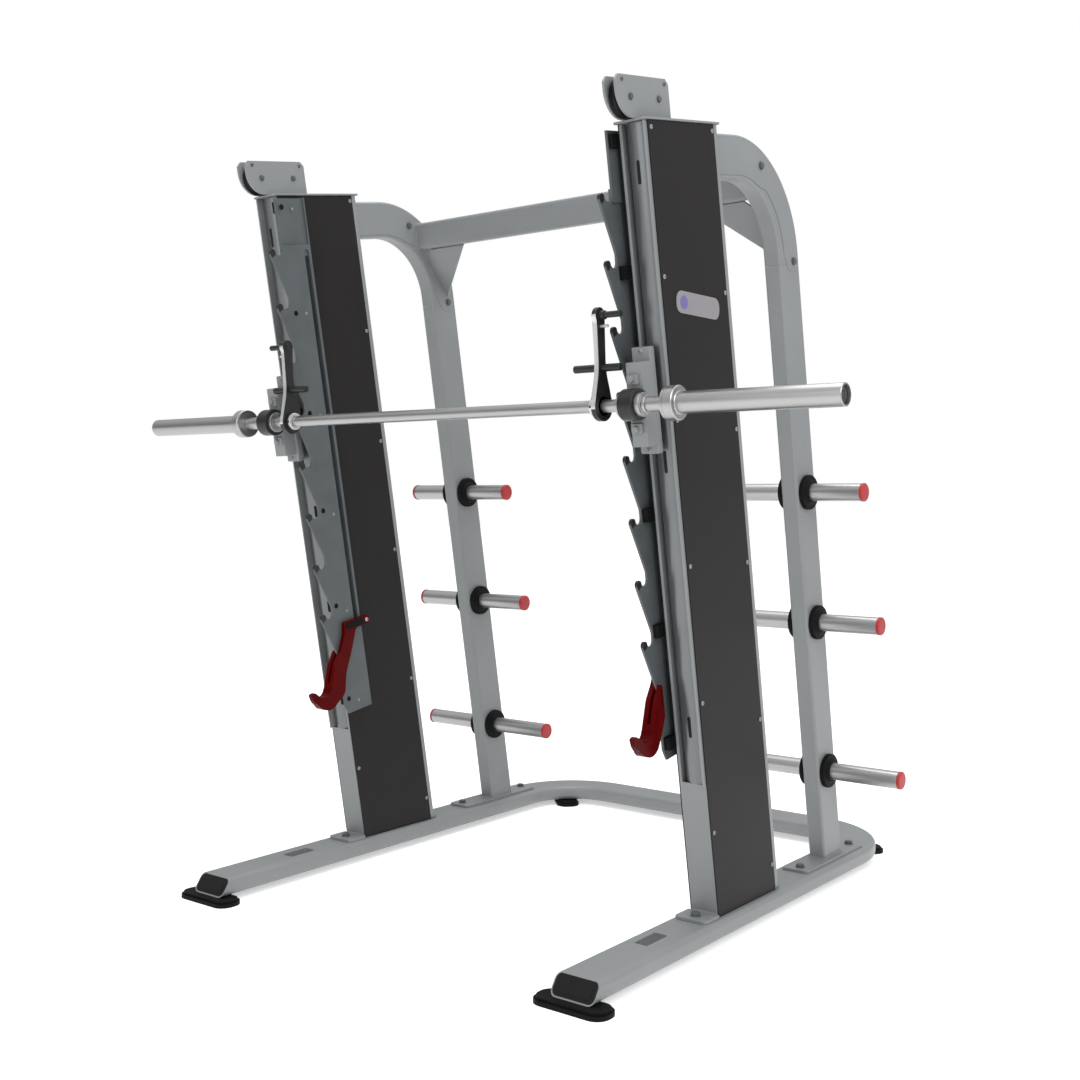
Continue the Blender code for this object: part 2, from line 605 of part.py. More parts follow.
def build_hook_lever(side_name, side, bar_axis):
    """A lever clamped to the bar, with a peg that drops into the rack's notches and a handle rod."""
    outer_x, inner_x = 0.541, 0.528
    half_width = 0.0135
    lobe = arc((0, 0), 0.0345, 150, 390, 12)
    head = arc((0, PEG_ARM), 0.019, -40, 220, 8)
    outline = lobe + [(half_width, 0.085), (half_width, 0.190)]
    outline += head + [(-half_width, 0.190), (-half_width, 0.085)]
    lever = plate("hook_lever_" + side_name, [outline], outer_x - inner_x)
    place(lever, BLACK, (side * (outer_x + inner_x) / 2, 0, 0), FACING_X, bar_axis)

    hub = cylinder("hub_" + side_name, 0.024, 0.019)
    boolean(lever, "UNION", as_tool(hub, (side * 0.5315, 0, 0), ALONG_X, bar_axis))
    peg_end = 0.598
    peg = cylinder("peg_" + side_name, PEG_RADIUS, peg_end - inner_x, 16)
    boolean(lever, "UNION", as_tool(peg, (side * (peg_end + inner_x) / 2, 0, PEG_ARM), ALONG_X, bar_axis))
    handle = cylinder("handle_" + side_name, 0.009, 0.130, 16)
    boolean(lever, "UNION", as_tool(handle, (side * 0.527, 0, HANDLE_ARM), ALONG_X, bar_axis))
    bore = cylinder("lever_bore_" + side_name, BAR_RADIUS + GAP, 0.1)
    boolean(lever, "DIFFERENCE", as_tool(bore, (side * 0.5315, 0, 0), ALONG_X, bar_axis))


# ---------------------------------------------------------------------------------------------- rear frame

def build_rear_frame(side_name, side, weld_level):
    section = rounded_rectangle(TUBE_WIDTH, TUBE_DEPTH, TUBE_RADIUS, steps=2)
    x = side * TUBE_X

    start = ((1, 0, 0), (0, 0, -1), (0, 1, 0))
    stations = [frame_matrix(*start, (x, COLUMN_DEPTH + GAP, ARCH_CENTRE[1] + ARCH_RADIUS))]
    bend_steps = 9
    for i in range(bend_steps + 1):
        turn = pi / 2 * i / bend_steps
        centre = (x, ARCH_CENTRE[0] + ARCH_RADIUS * sin(turn), ARCH_CENTRE[1] + ARCH_RADIUS * cos(turn))
        inwards = (0, -sin(turn), -cos(turn))
        along = (0, cos(turn), -sin(turn))
        stations.append(frame_matrix((1, 0, 0), inwards, along, centre))
    down = ((1, 0, 0), (0, -1, 0), (0, 0, -1))
    stations.append(frame_matrix(*down, (x, UPRIGHT_N, ARCH_END_W + GAP / 2)))
    place(tube("arch_" + side_name, section, stations), PAINT, parent=LEAN_FRAME)

    stations = [frame_matrix(*down, (x, UPRIGHT_N, w)) for w in (ARCH_END_W - GAP / 2, -0.2)]
    upright = tube("upright_" + side_name, section, stations)
    place(upright, PAINT, parent=LEAN_FRAME)
    for w, _, _ in HORNS.values():
        hole = cylinder("horn_hole", HORN_RADIUS + 2 * GAP, 0.1, 16)
        boolean(upright, "DIFFERENCE", as_tool(hole, (x, HORN_N, w), ALONG_X))
    boolean(upright, "DIFFERENCE", weld_level)
    foot_outline = rounded_rectangle(0.078, 0.370, 0.012, centre=(0, 0.400))
    boolean(upright, "UNION", foot_plate("upright_foot_" + side_name, foot_outline, side * 0.623))


def build_crossbar():
    section = rounded_rectangle(CROSSBAR_WIDTH, CROSSBAR_DEPTH, 0.010, steps=2)
    half_length = TUBE_X - TUBE_WIDTH / 2 - GAP
    stations = [Matrix.Translation((0, 0, -half_length)), Matrix.Translation((0, 0, half_length))]
    crossbar = tube("crossbar", section, stations)
    crossbar.data.transform(Matrix(((0, 0, 1, 0), (1, 0, 0, 0), (0, 1, 0, 0), (0, 0, 0, 1))))
    place(crossbar, PAINT, (0, CROSSBAR_N, CROSSBAR_W), parent=LEAN_FRAME)


def build_gusset(side_name, side):
    """A strap from the crossbar's underside down and back to the upright's inboard face."""
    tilt = radians(31)
    thickness = 0.006
    corner_x = TUBE_X - TUBE_WIDTH / 2 - GAP
    outline = [(0.424, 0), (0.562, 0), (corner_x, -0.036), (corner_x, -0.176)]
    gusset = plate("gusset_" + side_name, [mirrored(outline, side)], thickness)
    top_w = CROSSBAR_W - CROSSBAR_DEPTH / 2 - GAP - thickness / 2 * sin(tilt)
    place(gusset, PAINT, (0, CROSSBAR_N, top_w), (pi / 2 + tilt, 0, 0), LEAN_FRAME)


def build_storage_horn(name, side_name, side, w, inner_end, outer_end):
    """A rod through the upright, with a rubber collar on each side of it and a cap on each end."""
    middle = TUBE_X
    face = TUBE_WIDTH / 2 + GAP
    collar_radius, collar_depth = 0.048, 0.014
    outer, inner = outer_end - middle, inner_end - middle
    profile = [(outer, 0), (outer, HORN_RADIUS), (face + collar_depth, HORN_RADIUS),
               (face + collar_depth, collar_radius), (face, collar_radius), (face, HORN_RADIUS),
               (-face, HORN_RADIUS), (-face, collar_radius), (-face - collar_depth, collar_radius),
               (-face - collar_depth, HORN_RADIUS), (inner, HORN_RADIUS), (inner, 0)]
    horn = turned(f"storage_horn_{name}_{side_name}", profile, 16)
    place(horn, CHROME, (side * middle, HORN_N, w), (0, side * pi / 2, 0), LEAN_FRAME)


# ------------------------------------------------------------------------------------------------ assembly

def build_machine():
    weld_level = ground_cutter("weld_level", FOOT_PLATE_TOP - 0.003)
    rest_level = ground_cutter("rest_level", FOOT_PLATE_TOP + GAP)
    rail_level = ground_cutter("rail_level", RAIL_TOP_Z + GAP)
    bar_axis = bpy.data.objects.new("bar_axis", None)
    bar_axis.location = (0, BAR_N, BAR_W)
    bar_axis.rotation_euler = (-LEVER_REST, 0, 0)
    bar_axis.parent = LEAN_FRAME
    PARTS.objects.link(bar_axis)

    build_base()
    build_bar()
    build_crossbar()
    for side_name, side in SIDES.items():
        build_column(side_name, side, weld_level, rest_level, rail_level)
        build_pulley_bracket(side_name, side)
        build_rack(side_name, side)
        build_safety_stop(side_name, side)
        build_carriage(side_name, side)
        build_sleeve(side_name, side)
        build_hook_lever(side_name, side, bar_axis)
        build_rear_frame(side_name, side, weld_level)
        build_gusset(side_name, side)
        for name, (w, inner_end, outer_end) in HORNS.items():
            build_storage_horn(name, side_name, side, w, inner_end, outer_end)


build_machine()
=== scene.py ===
"""Looks for the smith machine: finer pieces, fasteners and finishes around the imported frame, and the studio.

Metres, +Z up, +X to the right and -Y to the front. The columns and all that is fixed to them lean back, so
their pieces are drawn in a leaning frame. Its axes are x (right), n (backwards, square to the columns) and
w (up along them), and n = 0 is the front face of the columns. Paired pieces are drawn for the right-hand
side and mirrored.
"""

import json
from math import asin, atan2, cos, degrees, pi, radians, sin, tan

import bmesh
import bpy
from mathutils import Matrix, Vector


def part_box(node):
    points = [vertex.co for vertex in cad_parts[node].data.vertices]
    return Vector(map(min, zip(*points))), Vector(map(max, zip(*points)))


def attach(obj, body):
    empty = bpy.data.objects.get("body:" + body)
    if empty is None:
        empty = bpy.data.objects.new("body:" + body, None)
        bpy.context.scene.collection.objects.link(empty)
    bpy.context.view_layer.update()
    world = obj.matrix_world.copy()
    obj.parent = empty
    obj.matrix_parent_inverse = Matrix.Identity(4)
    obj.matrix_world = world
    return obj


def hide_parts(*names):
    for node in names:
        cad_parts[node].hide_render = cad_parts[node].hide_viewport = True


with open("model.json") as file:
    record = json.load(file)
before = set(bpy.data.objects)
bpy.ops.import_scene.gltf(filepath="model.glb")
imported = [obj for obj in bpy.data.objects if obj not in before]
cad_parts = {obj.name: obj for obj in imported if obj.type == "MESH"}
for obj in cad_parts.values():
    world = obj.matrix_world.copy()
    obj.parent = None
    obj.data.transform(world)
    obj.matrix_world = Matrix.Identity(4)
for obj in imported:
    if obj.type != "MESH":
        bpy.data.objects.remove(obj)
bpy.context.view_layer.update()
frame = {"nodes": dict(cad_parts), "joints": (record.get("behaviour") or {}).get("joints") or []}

NODES = frame["nodes"]
JOINTS = {joint["name"]: joint for joint in frame["joints"]}
SIDES = {"left": -1, "right": 1}

# The leaning frame, from the slide of the bar and the place of its axis
SLIDE_AXIS = JOINTS["carriage_slide"]["axis"]
LEAN = atan2(-SLIDE_AXIS[1], SLIDE_AXIS[2])
BAR_N = -0.105
BAR_W = 1.358
BAR_PLACE = Vector(JOINTS["bar_turn"]["pos_m"])
LEAN_ORIGIN = BAR_PLACE - Matrix.Rotation(LEAN, 3, "X") @ Vector((0, BAR_N, BAR_W))
LEANING = Matrix.Translation(LEAN_ORIGIN) @ Matrix.Rotation(LEAN, 4, "X")
LEVEL = Matrix.Identity(4)
LEVER_REST = radians(6)

# Base
RAIL_RADIUS = 0.016
RAIL_SLANT = 0.70
RAIL_BEND_RADIUS = 0.219
WALL = 0.003
FOOT_PLATE_THICKNESS = 0.008
FOOT_BOLTS = ((0.620, -0.303), (0.628, 0.2435), (0.628, 0.5565))
REAR_FOOT_PLACE = (0.558, 0.7295)
MARKER_SIZE = (0.035, 0.088)
MARKER_Y = -0.4965

# Columns
COLUMN_X = 0.580
COLUMN_DEPTH = 0.306
OUTER_FACE = 0.6616
COLUMN_TOP = 1.984
GROOVE_BOTTOM = 0.412
CAP_TOP = 1.9893
PANEL_SCREWS_FRONT = (1.968, 1.636, 1.306, 0.957, 0.618, 0.285)
PANEL_SCREWS_REAR = (1.968, 1.584, 1.248, 0.908, 0.491, 0.090)
PANEL_SCREW_FRONT_N = 0.0125
PANEL_SCREW_REAR_N = 0.283
PANEL_SCREW_RADIUS = 0.0058
COVER_SLOTS = (1.873, 1.210, 0.557)
BADGE = {"n": 0.149, "w": 1.562, "length": 0.194, "height": 0.052}

# Rack
RACK_FACE = 0.557
RACK_THICKNESS = 0.006
RACK_MIDDLE = RACK_FACE + RACK_THICKNESS / 2
TOOTH_PITCH = 0.150
FIRST_TIP = 0.785
TOOTH_COUNT = 8
LIP_FRONT_N = -0.074
LIP_RADIUS = 0.0095
RACK_SPACERS = (0.515, 0.800, 1.085, 1.370, 1.655, 1.950)
RACK_SPACER_N = -0.010
RACK_SCREWS = (1.944, 1.652, 1.360, 1.068, 0.776, 0.500)

# Safety stops
STOP_THICKNESS = 0.0125
STOP_ARM_X = 0.54925
STOP_CHEEK_X = 0.57075
STOP_PIN_W = 0.7345

# Bar
BAR_RADIUS = 0.015
HOUSING_X = 0.620
HOUSING_RADIUS = 0.037
SLEEVE_RADIUS = 0.025
COLLAR_RADIUS = 0.0395
PEG_ARM = 0.208
HANDLE_ARM = 0.088
LEVER_HEAD_RADIUS = 0.019
LEVER_CLAMP_RADIUS = 0.0345
LEVER_INNER_X = 0.528
LEVER_OUTER_X = 0.541

# Pulleys
PULLEY_W = 2.035
PULLEY_N = {"front": -0.027, "rear": 0.090}
PULLEY_X = 0.621
BRACKET_FACE = 0.0125
BRACKET_PLATE = 0.006

# Rear frame
TUBE_X = 0.621
TUBE_SIZE = (0.050, 0.108)
TUBE_RADIUS = 0.008
ARCH_RADIUS = 0.246
ARCH_CENTRE = (0.421, 1.668)
ARCH_END_W = 1.640
CROSSBAR_SECTION = (0.050, 0.081)
CROSSBAR_PLACE = (0.597, 1.8575)
HORNS = {"top": (1.0208, 0.417, 0.820), "middle": (0.652, 0.393, 0.843), "bottom": (0.215, 0.360, 0.873)}
HORN_N = 0.665
HORN_RADIUS = 0.024
HORN_CAP = 0.010

# Camera
CAMERA_PLACE = (2.3103, -3.0949, 1.1200)
CAMERA_TURN = (87.948, 0, 37.973)
LENS = 44.11


# ---------------------------------------------------------------------------------------- finishes

GLOSS_SPREAD = 0.06


def node_material(name, colour, roughness, metallic=0.0, specular=0.5, mottle=0.06, mottle_scale=6.0,
                  grain_scale=700.0, grain_depth=0.00004, stretch=(1, 1, 1)):
    """A finish with slow changes of tone, a fine surface grain and uneven gloss.

    Stretch squeezes the grain along an axis, which draws it out across the other two.
    """
    material = bpy.data.materials.new(name)
    material.use_nodes = True
    nodes = material.node_tree.nodes
    link = material.node_tree.links.new
    shader = nodes["Principled BSDF"]
    shader.inputs["Metallic"].default_value = metallic
    shader.inputs["Specular IOR Level"].default_value = specular
    place = nodes.new("ShaderNodeTexCoord")

    tone = nodes.new("ShaderNodeTexNoise")
    tone.inputs["Scale"].default_value = mottle_scale
    tone.inputs["Detail"].default_value = 5
    shades = nodes.new("ShaderNodeValToRGB")
    for stop, factor in zip(shades.color_ramp.elements, (1 - mottle, 1 + mottle)):
        stop.color = (*[min(1, channel * factor) for channel in colour], 1)
    shades.color_ramp.elements[0].position = 0.3
    shades.color_ramp.elements[1].position = 0.7
    link(place.outputs["Object"], tone.inputs["Vector"])
    link(tone.outputs["Fac"], shades.inputs["Fac"])
    link(shades.outputs["Color"], shader.inputs["Base Color"])

    squeeze = nodes.new("ShaderNodeMapping")
    squeeze.inputs["Scale"].default_value = stretch
    grain = nodes.new("ShaderNodeTexNoise")
    grain.inputs["Scale"].default_value = grain_scale
    grain.inputs["Detail"].default_value = 2
    bump = nodes.new("ShaderNodeBump")
    bump.inputs["Strength"].default_value = 0.5
    bump.inputs["Distance"].default_value = grain_depth
    link(place.outputs["Object"], squeeze.inputs["Vector"])
    link(squeeze.outputs["Vector"], grain.inputs["Vector"])
    link(grain.outputs["Fac"], bump.inputs["Height"])
    link(bump.outputs["Normal"], shader.inputs["Normal"])

    gloss = nodes.new("ShaderNodeMapRange")
    gloss.inputs["To Min"].default_value = roughness - GLOSS_SPREAD
    gloss.inputs["To Max"].default_value = roughness + GLOSS_SPREAD
    link(tone.outputs["Fac"], gloss.inputs["Value"])
    link(gloss.outputs["Result"], shader.inputs["Roughness"])
    return material


FINISHES = {
    "grey_paint": node_material("powder_coat", (0.196, 0.206, 0.212), 0.42, mottle=0.04),
    "cover_paint": node_material("cover_coat", (0.160, 0.168, 0.173), 0.30, metallic=0.65, mottle=0.05),
    "panel_paint": node_material("panel_coat", (0.0135, 0.0120, 0.0120), 0.50, specular=0.15, mottle=0.08,
                                 grain_scale=1100),
    "rack_paint": node_material("rack_coat", (0.072, 0.082, 0.086), 0.42, specular=0.4, mottle=0.10,
                                mottle_scale=14),
    "black_steel": node_material("black_oxide", (0.010, 0.010, 0.011), 0.38, specular=0.4, mottle=0.25,
                                 mottle_scale=40),
    "chrome": node_material("satin_chrome", (0.39, 0.39, 0.39), 0.36, metallic=1.0, mottle=0.03,
                            grain_scale=60, stretch=(18, 1, 1), grain_depth=0.00003),
    "cast_iron": node_material("cast_iron", (0.06, 0.06, 0.06), 0.62, metallic=0.4, mottle=0.3,
                               mottle_scale=60, grain_scale=350, grain_depth=0.0003),
    "rubber": node_material("moulded_rubber", (0.004, 0.004, 0.004), 0.60, specular=0.10, mottle=0.2,
                            mottle_scale=30, grain_scale=900, grain_depth=0.0001),
    "black_plastic": node_material("moulded_plastic", (0.008, 0.008, 0.009), 0.46, specular=0.17, mottle=0.12,
                                   grain_scale=1200),
    "red_paint": node_material("red_gloss", (0.072, 0.0010, 0.0013), 0.20, specular=0.05, mottle=0.15,
                               mottle_scale=20),
}
BADGE_SILVER = node_material("badge_silver", (0.245, 0.237, 0.252), 0.40, metallic=0.2, mottle=0.05)
BADGE_BLUE = node_material("badge_blue", (0.13, 0.11, 0.30), 0.35, mottle=0.10, mottle_scale=50)
RED_RUBBER = node_material("red_cap", (0.34, 0.016, 0.020), 0.45, mottle=0.12, mottle_scale=40)
# Lighter steel for the lever's ring and pin, and for the strip along its front edge, which is a painted
# highlight.
LEVER_STEEL_AND_HIGHLIGHT = node_material("lever_steel_and_highlight", (0.60, 0.60, 0.60), 0.36, metallic=0.7, mottle=0.05,
                            grain_scale=60, stretch=(1, 1, 12))


# ---------------------------------------------------------------------------------------- outlines

def arc(centre, radius, start, end, steps):
    """Points of an arc from start to end degrees, both ends included."""
    angles = [radians(start + (end - start) * i / steps) for i in range(steps + 1)]
    return [(centre[0] + radius * cos(a), centre[1] + radius * sin(a)) for a in angles]


def rounded_rectangle(width, height, radius, steps=8, centre=(0, 0)):
    points = []
    for quarter, (sx, sy) in enumerate([(1, 1), (-1, 1), (-1, -1), (1, -1)]):
        corner = (centre[0] + sx * (width / 2 - radius), centre[1] + sy * (height / 2 - radius))
        points += arc(corner, radius, 90 * quarter, 90 * quarter + 90, steps)
    return points


def filleted(points, radius, steps=4, closed=True):
    """The same outline with its corners rounded."""
    rounded = []
    count = len(points)
    for i, point in enumerate(points):
        if not closed and i in (0, count - 1):
            rounded.append(point)
            continue
        corner = Vector(point)
        before, after = Vector(points[i - 1]) - corner, Vector(points[(i + 1) % count]) - corner
        reach = min(radius, before.length * 0.45, after.length * 0.45)
        start, end = corner + before.normalized() * reach, corner + after.normalized() * reach
        for step in range(steps + 1):
            t = step / steps
            rounded.append(tuple((1 - t) ** 2 * start + 2 * t * (1 - t) * corner + t ** 2 * end))
    return rounded


# ---------------------------------------------------------------------------------------- shapes

def axes(x_axis, y_axis, z_axis, origin):
    matrix = Matrix((x_axis, y_axis, z_axis)).transposed().to_4x4()
    matrix.translation = origin
    return matrix


def facing(origin, direction):
    """A frame at origin whose Z axis points in a direction."""
    turn = Vector(direction).to_track_quat("Z", "Y").to_matrix().to_4x4()
    return Matrix.Translation(origin) @ turn


def outline_at(x, place=LEVEL):
    """A frame for outlines drawn as (n, w), square to the X axis at x."""
    return place @ axes((0, 1, 0), (0, 0, 1), (1, 0, 0), (x, 0, 0))


def merge(shape, part, matrix):
    """Add a finished part to a shape, at its place."""
    bmesh.ops.recalc_face_normals(part, faces=part.faces)
    mesh = bpy.data.meshes.new("part")
    part.to_mesh(mesh)
    part.free()
    mesh.transform(matrix)
    shape.from_mesh(mesh)
    bpy.data.meshes.remove(mesh)


def add_plate(shape, outline, thickness, matrix, bevel=0.0, segments=2):
    """A flat solid, centred on its own XY plane, with the edges of both faces rounded."""
    part = bmesh.new()
    top = [part.verts.new((x, y, thickness / 2)) for x, y in outline]
    bottom = [part.verts.new((x, y, -thickness / 2)) for x, y in outline]
    caps = [part.faces.new(top), part.faces.new(bottom[::-1])]
    for i in range(len(outline)):
        part.faces.new((bottom[i - 1], bottom[i], top[i], top[i - 1]))
    if bevel:
        rims = [edge for cap in caps for edge in cap.edges]
        bmesh.ops.bevel(part, geom=rims, offset=bevel, segments=segments, profile=0.5, affect="EDGES",
                        clamp_overlap=True)
    merge(shape, part, matrix)


def add_block(shape, size, matrix, bevel=0.001):
    part = bmesh.new()
    bmesh.ops.create_cube(part, size=1)
    bmesh.ops.scale(part, vec=size, verts=part.verts)
    bmesh.ops.bevel(part, geom=part.edges[:], offset=bevel, segments=2, profile=0.5, affect="EDGES")
    merge(shape, part, matrix)


def add_turned(shape, profile, matrix, steps=48, hollow=False, corner=0.0):
    """A body of revolution about Z. The profile lists (z, radius); a hollow one closes on itself."""
    if corner:
        profile = filleted(profile, corner, 3, closed=hollow)
    part = bmesh.new()
    rings = []
    for z, radius in profile:
        count = steps if radius > 1e-6 else 1
        turns = [2 * pi * i / steps for i in range(count)]
        rings.append([part.verts.new((radius * cos(a), radius * sin(a), z)) for a in turns])
    pairs = list(zip(rings, rings[1:]))
    if hollow:
        pairs.append((rings[-1], rings[0]))
    for upper, lower in pairs:
        for i in range(steps):
            corners = [upper[i % len(upper)], upper[(i + 1) % steps % len(upper)],
                       lower[(i + 1) % steps % len(lower)], lower[i % len(lower)]]
            corners = list(dict.fromkeys(corners))
            if len(corners) > 2:
                part.faces.new(corners)
    merge(shape, part, matrix)


def add_tube(shape, width, height, radius, stations, wall=WALL):
    """A rectangular tube with rounded corners, open at its ends. The stations carry its section along it."""
    part = bmesh.new()
    outer = rounded_rectangle(width, height, radius)
    inner = rounded_rectangle(width - 2 * wall, height - 2 * wall, radius - wall)
    skins = []
    for section in (outer, inner):
        skins.append([[part.verts.new(station @ Vector((x, y, 0))) for x, y in section]
                      for station in stations])
    for rings in skins:
        for ring, following in zip(rings, rings[1:]):
            for i in range(len(outer)):
                part.faces.new((ring[i - 1], ring[i], following[i], following[i - 1]))
    for end in (0, -1):
        outside, inside = skins[0][end], skins[1][end]
        for i in range(len(outer)):
            part.faces.new((outside[i - 1], outside[i], inside[i], inside[i - 1]))
    merge(shape, part, LEVEL)


def add_bead(shape, path, radius, closed=True):
    """A weld bead along a path, with the small swellings of its laying."""
    part = bmesh.new()
    sides, count = 8, len(path)
    rings = []
    for i, point in enumerate(path):
        here = Vector(point)
        along = Vector(path[(i + 1) % count]) - Vector(path[i - 1])
        if not closed and i in (0, count - 1):
            along = Vector(path[1]) - here if i == 0 else here - Vector(path[-2])
        place = facing(here, along)
        size = radius * (1 + 0.12 * (i % 2))
        turns = [2 * pi * k / sides for k in range(sides)]
        rings.append([part.verts.new(place @ Vector((size * cos(a), size * sin(a), 0))) for a in turns])
    pairs = list(zip(rings, rings[1:])) + ([(rings[-1], rings[0])] if closed else [])
    for ring, following in pairs:
        for k in range(sides):
            part.faces.new((ring[k - 1], ring[k], following[k], following[k - 1]))
    if not closed:
        part.faces.new(rings[0])
        part.faces.new(rings[-1][::-1])
    merge(shape, part, LEVEL)


def resampled(points, spacing):
    """Points at an even spacing along a closed path."""
    result = []
    for i, point in enumerate(points):
        start, end = Vector(points[i - 1]), Vector(point)
        steps = max(1, round((end - start).length / spacing))
        result += [tuple(start.lerp(end, k / steps)) for k in range(steps)]
    return result


# ---------------------------------------------------------------------------------------- fasteners

def add_hex_bolt(shape, matrix, across=0.017, height=0.008):
    """A washer, a hexagon head with turned-down corners and a flat crown."""
    washer = across * 0.68
    washer_top = 0.0018
    profile = [(0, 0), (0, washer), (0.0014, washer), (washer_top, washer - 0.0008), (washer_top, 0)]
    add_turned(shape, profile, matrix, 32)
    part = bmesh.new()
    corner = across / 2 / cos(pi / 6)
    bmesh.ops.create_cone(part, cap_ends=True, segments=6, radius1=corner, radius2=corner, depth=height)
    top = [edge for edge in part.edges if all(vert.co.z > 0 for vert in edge.verts)]
    bmesh.ops.bevel(part, geom=top, offset=across * 0.09, segments=2, profile=0.5, affect="EDGES")
    merge(shape, part, matrix @ Matrix.Translation((0, 0, washer_top + height / 2)))


def add_button_screw(shape, matrix, radius=0.006, height=0.0032):
    """A domed head with a hexagonal socket."""
    part = bmesh.new()
    steps = 24
    socket = radius * 0.42
    profile = [(0, radius)]
    profile += [(height * sin(a), radius * cos(a)) for a in (radians(22), radians(42), radians(58))]
    turns = [2 * pi * i / steps for i in range(steps)]
    rings = [[part.verts.new((r * cos(a), r * sin(a), z)) for a in turns] for z, r in profile]
    for z in (height * 0.92, height * 0.35):
        hexagon = []
        for turn in turns:
            reach = socket * cos(pi / 6) / cos((turn % (pi / 3)) - pi / 6)
            hexagon.append(part.verts.new((reach * cos(turn), reach * sin(turn), z)))
        rings.append(hexagon)
    for ring, following in zip(rings, rings[1:]):
        for i in range(steps):
            part.faces.new((ring[i - 1], ring[i], following[i], following[i - 1]))
    part.faces.new(rings[0][::-1])
    part.faces.new(rings[-1])
    merge(shape, part, matrix)


# ---------------------------------------------------------------------------------------- pieces

def finish_mesh(shape, limit=32):
    """Smooth faces, with hard edges where two of them meet at more than the limit."""
    for face in shape.faces:
        face.smooth = True
    for edge in shape.edges:
        edge.smooth = len(edge.link_faces) == 2 and edge.calc_face_angle() < radians(limit)


def piece(name, shape, slot, body="frame", side=1, place=LEANING, replaces=(), look=None):
    """Turn a shape into a piece that rides on a body, mirrored for the left-hand side."""
    bmesh.ops.transform(shape, matrix=place @ Matrix.Diagonal((side, 1, 1, 1)), verts=shape.verts)
    if side == -1:
        bmesh.ops.reverse_faces(shape, faces=shape.faces)
    finish_mesh(shape)
    mesh = bpy.data.meshes.new(name)
    shape.to_mesh(mesh)
    shape.free()
    obj = bpy.data.objects.new(name, mesh)
    bpy.context.scene.collection.objects.link(obj)
    mesh.materials.append(look or FINISHES[slot])
    normals = obj.modifiers.new("even_normals", "WEIGHTED_NORMAL")
    normals.keep_sharp = True
    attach(obj, body)
    if replaces:
        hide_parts(*replaces)
    return obj


def softened(node, slot, body="frame", bevel=0.0008):
    """A copy of a CAD node with its hard edges rounded."""
    shape = bmesh.new()
    shape.from_mesh(NODES[node].data)
    bmesh.ops.remove_doubles(shape, verts=shape.verts, dist=1e-5)
    bmesh.ops.dissolve_limit(shape, angle_limit=radians(0.5), verts=shape.verts, edges=shape.edges)
    hard = [edge for edge in shape.edges
            if len(edge.link_faces) == 2 and edge.calc_face_angle() > radians(40)]
    bmesh.ops.bevel(shape, geom=hard, offset=bevel, segments=2, profile=0.5, affect="EDGES",
                    clamp_overlap=True)
    return piece(node + "_skin", shape, slot, body, place=LEVEL, replaces=[node])


# ---------------------------------------------------------------------------------------- base

def build_base():
    """One bent tube from the left front end round the back to the right front end."""
    low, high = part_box("base_rail_right")
    width, height = high.x - low.x, high.z - low.z
    x, z = (low.x + high.x) / 2, (low.z + high.z) / 2
    front = low.y + RAIL_SLANT * height / 2
    centre = (x - RAIL_BEND_RADIUS, high.y)
    stations = [axes((-1, 0, 0), (0, RAIL_SLANT, 1), (0, 1, 0), (x, front, z))]
    bend_steps = 24
    for side in (1, -1):
        for i in range(bend_steps + 1):
            turn = pi / 2 * (i if side == 1 else bend_steps - i) / bend_steps
            along = (-sin(turn), side * cos(turn), 0)
            place = (side * (centre[0] + RAIL_BEND_RADIUS * cos(turn)),
                     centre[1] + RAIL_BEND_RADIUS * sin(turn), z)
            stations.append(axes((-along[1], along[0], 0), (0, 0, 1), along, place))
    stations.append(axes((1, 0, 0), (0, RAIL_SLANT, 1), (0, -1, 0), (-x, front, z)))
    base = bmesh.new()
    add_tube(base, width, height, RAIL_RADIUS, stations)
    piece("base_tube", base, "grey_paint", place=LEVEL,
          replaces=["base_rail_left", "base_rail_right", "base_rear_tube"])

    for side_name, side in SIDES.items():
        build_end_plug(side_name, side, x, z, front, width, height)
        build_rail_marker(side_name, side, x, high.z)
        build_feet(side_name, side)
        build_foot_fasteners(side_name, side, high.z)


def build_end_plug(side_name, side, x, z, front, width, height):
    """A moulded plug in the slanted end, with a raised border round a shallow field."""
    slant = Matrix(((1, 0, 0, 0), (0, RAIL_SLANT, -1, 0), (0, 1, 0, 0), (0, 0, 0, 1)))
    inset = 2 * (WALL + 0.0006)
    plug = bmesh.new()
    outline = rounded_rectangle(width - inset, height - inset, RAIL_RADIUS - inset / 2)
    matrix = Matrix.Translation((x, front + 0.0025, z)) @ slant
    add_plate(plug, outline, 0.006, matrix, bevel=0.0012)
    field = rounded_rectangle(width - inset - 0.022, height - inset - 0.014, 0.007)
    add_plate(plug, field, 0.002, Matrix.Translation((x, front - 0.0008, z)) @ slant, bevel=0.0006)
    piece("rail_plug_" + side_name, plug, "black_plastic", side=side, place=LEVEL,
          replaces=["rail_end_cap_" + side_name])


def build_rail_marker(side_name, side, x, top):
    """A dark non-slip plate let into the top of each side rail."""
    marker = bmesh.new()
    middle = (x - 0.006, MARKER_Y, top + 0.0003)
    outline = rounded_rectangle(*MARKER_SIZE, 0.003)
    add_plate(marker, outline, 0.0018, Matrix.Translation(middle), bevel=0.0005)
    for i in range(9):
        rib = (middle[0], middle[1] + (i - 4) * 0.009, top + 0.0013)
        add_block(marker, (0.028, 0.0035, 0.0010), Matrix.Translation(rib), 0.0003)
    piece("rail_grip_plate_" + side_name, marker, "rack_paint", side=side, place=LEVEL)


